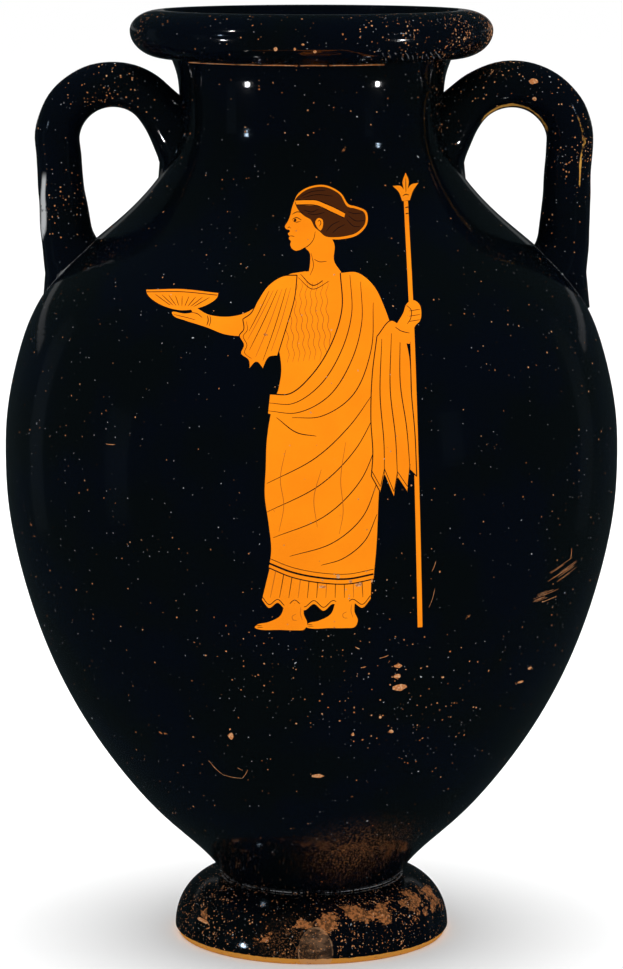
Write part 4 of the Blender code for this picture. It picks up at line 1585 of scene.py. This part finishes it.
def pale_floor(stage):
    half = stage.floor_size / 2
    mesh = bpy.data.meshes.new("pale_floor")
    corners = [(-half, -half, 0.0), (half, -half, 0.0), (half, half, 0.0), (-half, half, 0.0)]
    mesh.from_pydata(corners, [], [(0, 1, 2, 3)])
    material = bpy.data.materials.new("pale_matt")
    material.use_nodes = True
    shader = material.node_tree.nodes["Principled BSDF"]
    shader.inputs["Base Color"].default_value = (*stage.floor_colour, 1.0)
    shader.inputs["Roughness"].default_value = 0.9
    shader.inputs["Specular IOR Level"].default_value = 0.0
    mesh.materials.append(material)
    made = add_object("pale_floor", mesh)
    made.visible_glossy = False


# Lamps seen only in the gloss, as (name, azimuth from -Y towards +X, elevation, height of their aim,
# width, height, watts, spread in degrees, tint). Each stands this far from its aim
FLASH_DISTANCE = 1.1
WHITE = (1.0, 1.0, 1.0)
COOL = (0.62, 0.80, 1.0)
FLASHES = (
    ("left_flash_low", -57, -20, 0.390, 0.05, 0.13, 0.011, 7, WHITE),
    ("left_flash_level", -57, 6, 0.375, 0.04, 0.10, 0.0015, 8, COOL),
    ("left_flash_high", -57, 35, 0.412, 0.08, 0.06, 0.016, 5, WHITE),
    ("right_flash_low", 59, -20, 0.392, 0.05, 0.16, 0.013, 7, WHITE),
    ("right_flash_level", 59, 17, 0.368, 0.04, 0.10, 0.001, 8, COOL),
    ("left_panel", -72, 0, 0.200, 0.20, 0.50, 0.0014, 60, COOL),
    ("right_panel", 50, 6, 0.240, 0.16, 0.30, 0.0006, 60, COOL),
    ("left_side", -118, 0, 0.300, 0.20, 0.80, 0.0020, 60, COOL),
    ("right_side", 118, 0, 0.300, 0.20, 0.80, 0.0014, 60, COOL),
    ("back_low", 180, 3, 0.400, 2.40, 0.10, 0.08, 180, WHITE),
    ("left_foot_flash", -57, -2, 0.020, 0.06, 0.12, 0.010, 10, COOL),
)
# How bright the world is, and how bright the gloss sees it
WORLD_LIGHT = 1.05
WORLD_IN_GLOSS = 0.02
# The overhead lamp lights the floor and the clay, and isn't seen in the gloss
OVERHEAD_HEIGHT = 2.8
OVERHEAD_SIZE = 3.0
OVERHEAD_WATTS = 60.0


def area_lamp(name, width, height, watts, place, aim):
    """A rectangular lamp at a place that looks at its aim."""
    lamp = bpy.data.lights.new(name, "AREA")
    lamp.shape = "RECTANGLE"
    lamp.size = width
    lamp.size_y = height
    lamp.energy = watts
    made = add_object(name, lamp)
    made.location = place
    made.rotation_euler = (place - aim).to_track_quat("Z", "Y").to_euler()
    return made


def gloss_flash(name, azimuth, elevation, aim_height, width, height, watts, spread, tint):
    """A lamp that only the gloss sees, with a narrow spread so that it shows about its aim alone."""
    turn = math.radians(azimuth)
    lift = math.radians(elevation)
    way = Vector((math.sin(turn) * math.cos(lift), -math.cos(turn) * math.cos(lift), math.sin(lift)))
    aim = Vector((0.0, 0.0, aim_height))
    made = area_lamp(name, width, height, watts, aim + way * FLASH_DISTANCE, aim)
    made.data.spread = math.radians(spread)
    made.data.color = tint
    made.visible_diffuse = False


def overhead_lamp():
    place = Vector((0.0, 0.0, OVERHEAD_HEIGHT))
    aim = Vector((0.0, 0.0, 0.0))
    made = area_lamp("overhead", OVERHEAD_SIZE, OVERHEAD_SIZE, OVERHEAD_WATTS, place, aim)
    made.visible_glossy = False


def studio_world():
    """White round about, but dim in the gloss, so that the black stays black."""
    world = bpy.data.worlds.new("studio")
    world.use_nodes = True
    bpy.context.scene.world = world
    tree = Tree(world.node_tree)
    world.node_tree.nodes.clear()
    shine = tree.node("ShaderNodeLightPath", output="Is Glossy Ray")
    values = {"Color": opaque(WHITE), "Strength": WORLD_LIGHT}
    white = tree.node("ShaderNodeBackground", None, values)
    values = {"Color": (0.6, 0.9, 1.0, 1.0), "Strength": WORLD_IN_GLOSS}
    dim = tree.node("ShaderNodeBackground", None, values)
    both = tree.node("ShaderNodeMixShader", None, {0: shine, 1: white, 2: dim})
    out = world.node_tree.nodes.new("ShaderNodeOutputWorld")
    world.node_tree.links.new(both.socket, out.inputs["Surface"])


def front_camera(stage):
    camera = bpy.data.cameras.new("front_camera")
    camera.lens = stage.lens
    camera.clip_end = 4 * stage.floor_size
    made = add_object("front_camera", camera)
    made.location = (0.0, -stage.camera_distance, stage.camera_height)
    made.rotation_euler = (math.pi / 2 - stage.camera_pitch, 0.0, 0.0)
    bpy.context.scene.camera = made


# Operators, panel and the run


class AMPHORA_OT_shape_vessel(bpy.types.Operator):
    """Turn, paint and handle the vessel, and put it in the place of its solid"""

    bl_idname = "amphora.shape_vessel"
    bl_label = "Shape vessel"

    def execute(self, context):
        scene = context.scene
        form = Form(scene.amphora_turned)
        handles = [Handle(form, scene.amphora_handles, side) for side in (-1, 1)]
        material = fired_surface(scene.amphora_finish, handles)
        wheel = wheel_tree()
        rolled = rolled_tree()
        vessel = turned("amphora_vessel", whole_sheet(form), form.line, wheel, material)
        for handle in handles:
            tube = handle.build(rolled, material)
            combined(tube, wall_core(form, wheel, material), "DIFFERENCE")
            combined(vessel, tube, "UNION")
        mesh = vessel.data
        mesh.shade_smooth()
        mesh.set_sharp_from_angle(angle=CREASE)
        mark_wear(mesh, handles, form)
        set_wall_normals(mesh, form)
        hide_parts("amphora")
        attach(vessel, "root")
        return {"FINISHED"}


class AMPHORA_OT_set_stage(bpy.types.Operator):
    """Lay the pale floor and set the lights and the camera"""

    bl_idname = "amphora.set_stage"
    bl_label = "Set stage"

    def execute(self, context):
        stage = context.scene.amphora_stage
        pale_floor(stage)
        studio_world()
        overhead_lamp()
        for flash in FLASHES:
            gloss_flash(*flash)
        front_camera(stage)
        context.scene.view_settings.view_transform = "Standard"
        return {"FINISHED"}


class AMPHORA_PT_sidebar(bpy.types.Panel):
    """The amphora's sizes, colours and steps"""

    bl_label = "Amphora"
    bl_idname = "AMPHORA_PT_sidebar"
    bl_space_type = "VIEW_3D"
    bl_region_type = "UI"
    bl_category = "Amphora"

    def draw(self, context):
        scene = context.scene
        for title, group, operator in (
            ("Turned form", scene.amphora_turned, None),
            ("Handles", scene.amphora_handles, None),
            ("Finish", scene.amphora_finish, "amphora.shape_vessel"),
            ("Stage", scene.amphora_stage, "amphora.set_stage"),
        ):
            box = self.layout.box()
            box.label(text=title)
            for name in group.__annotations__:
                box.prop(group, name)
            if operator:
                box.operator(operator)


CLASSES = (
    TurnedSizes,
    HandleSizes,
    FinishColours,
    StageSizes,
    AMPHORA_OT_shape_vessel,
    AMPHORA_OT_set_stage,
    AMPHORA_PT_sidebar,
)
SETTINGS = {
    "amphora_turned": TurnedSizes,
    "amphora_handles": HandleSizes,
    "amphora_finish": FinishColours,
    "amphora_stage": StageSizes,
}


def register():
    for each in CLASSES:
        bpy.utils.register_class(each)
    for name, group in SETTINGS.items():
        setattr(bpy.types.Scene, name, PointerProperty(type=group))


def unregister():
    for name in SETTINGS:
        delattr(bpy.types.Scene, name)
    for each in reversed(CLASSES):
        bpy.utils.unregister_class(each)


def main():
    register()
    bpy.ops.amphora.shape_vessel()
    bpy.ops.amphora.set_stage()


if __name__ == "__main__":
    main()
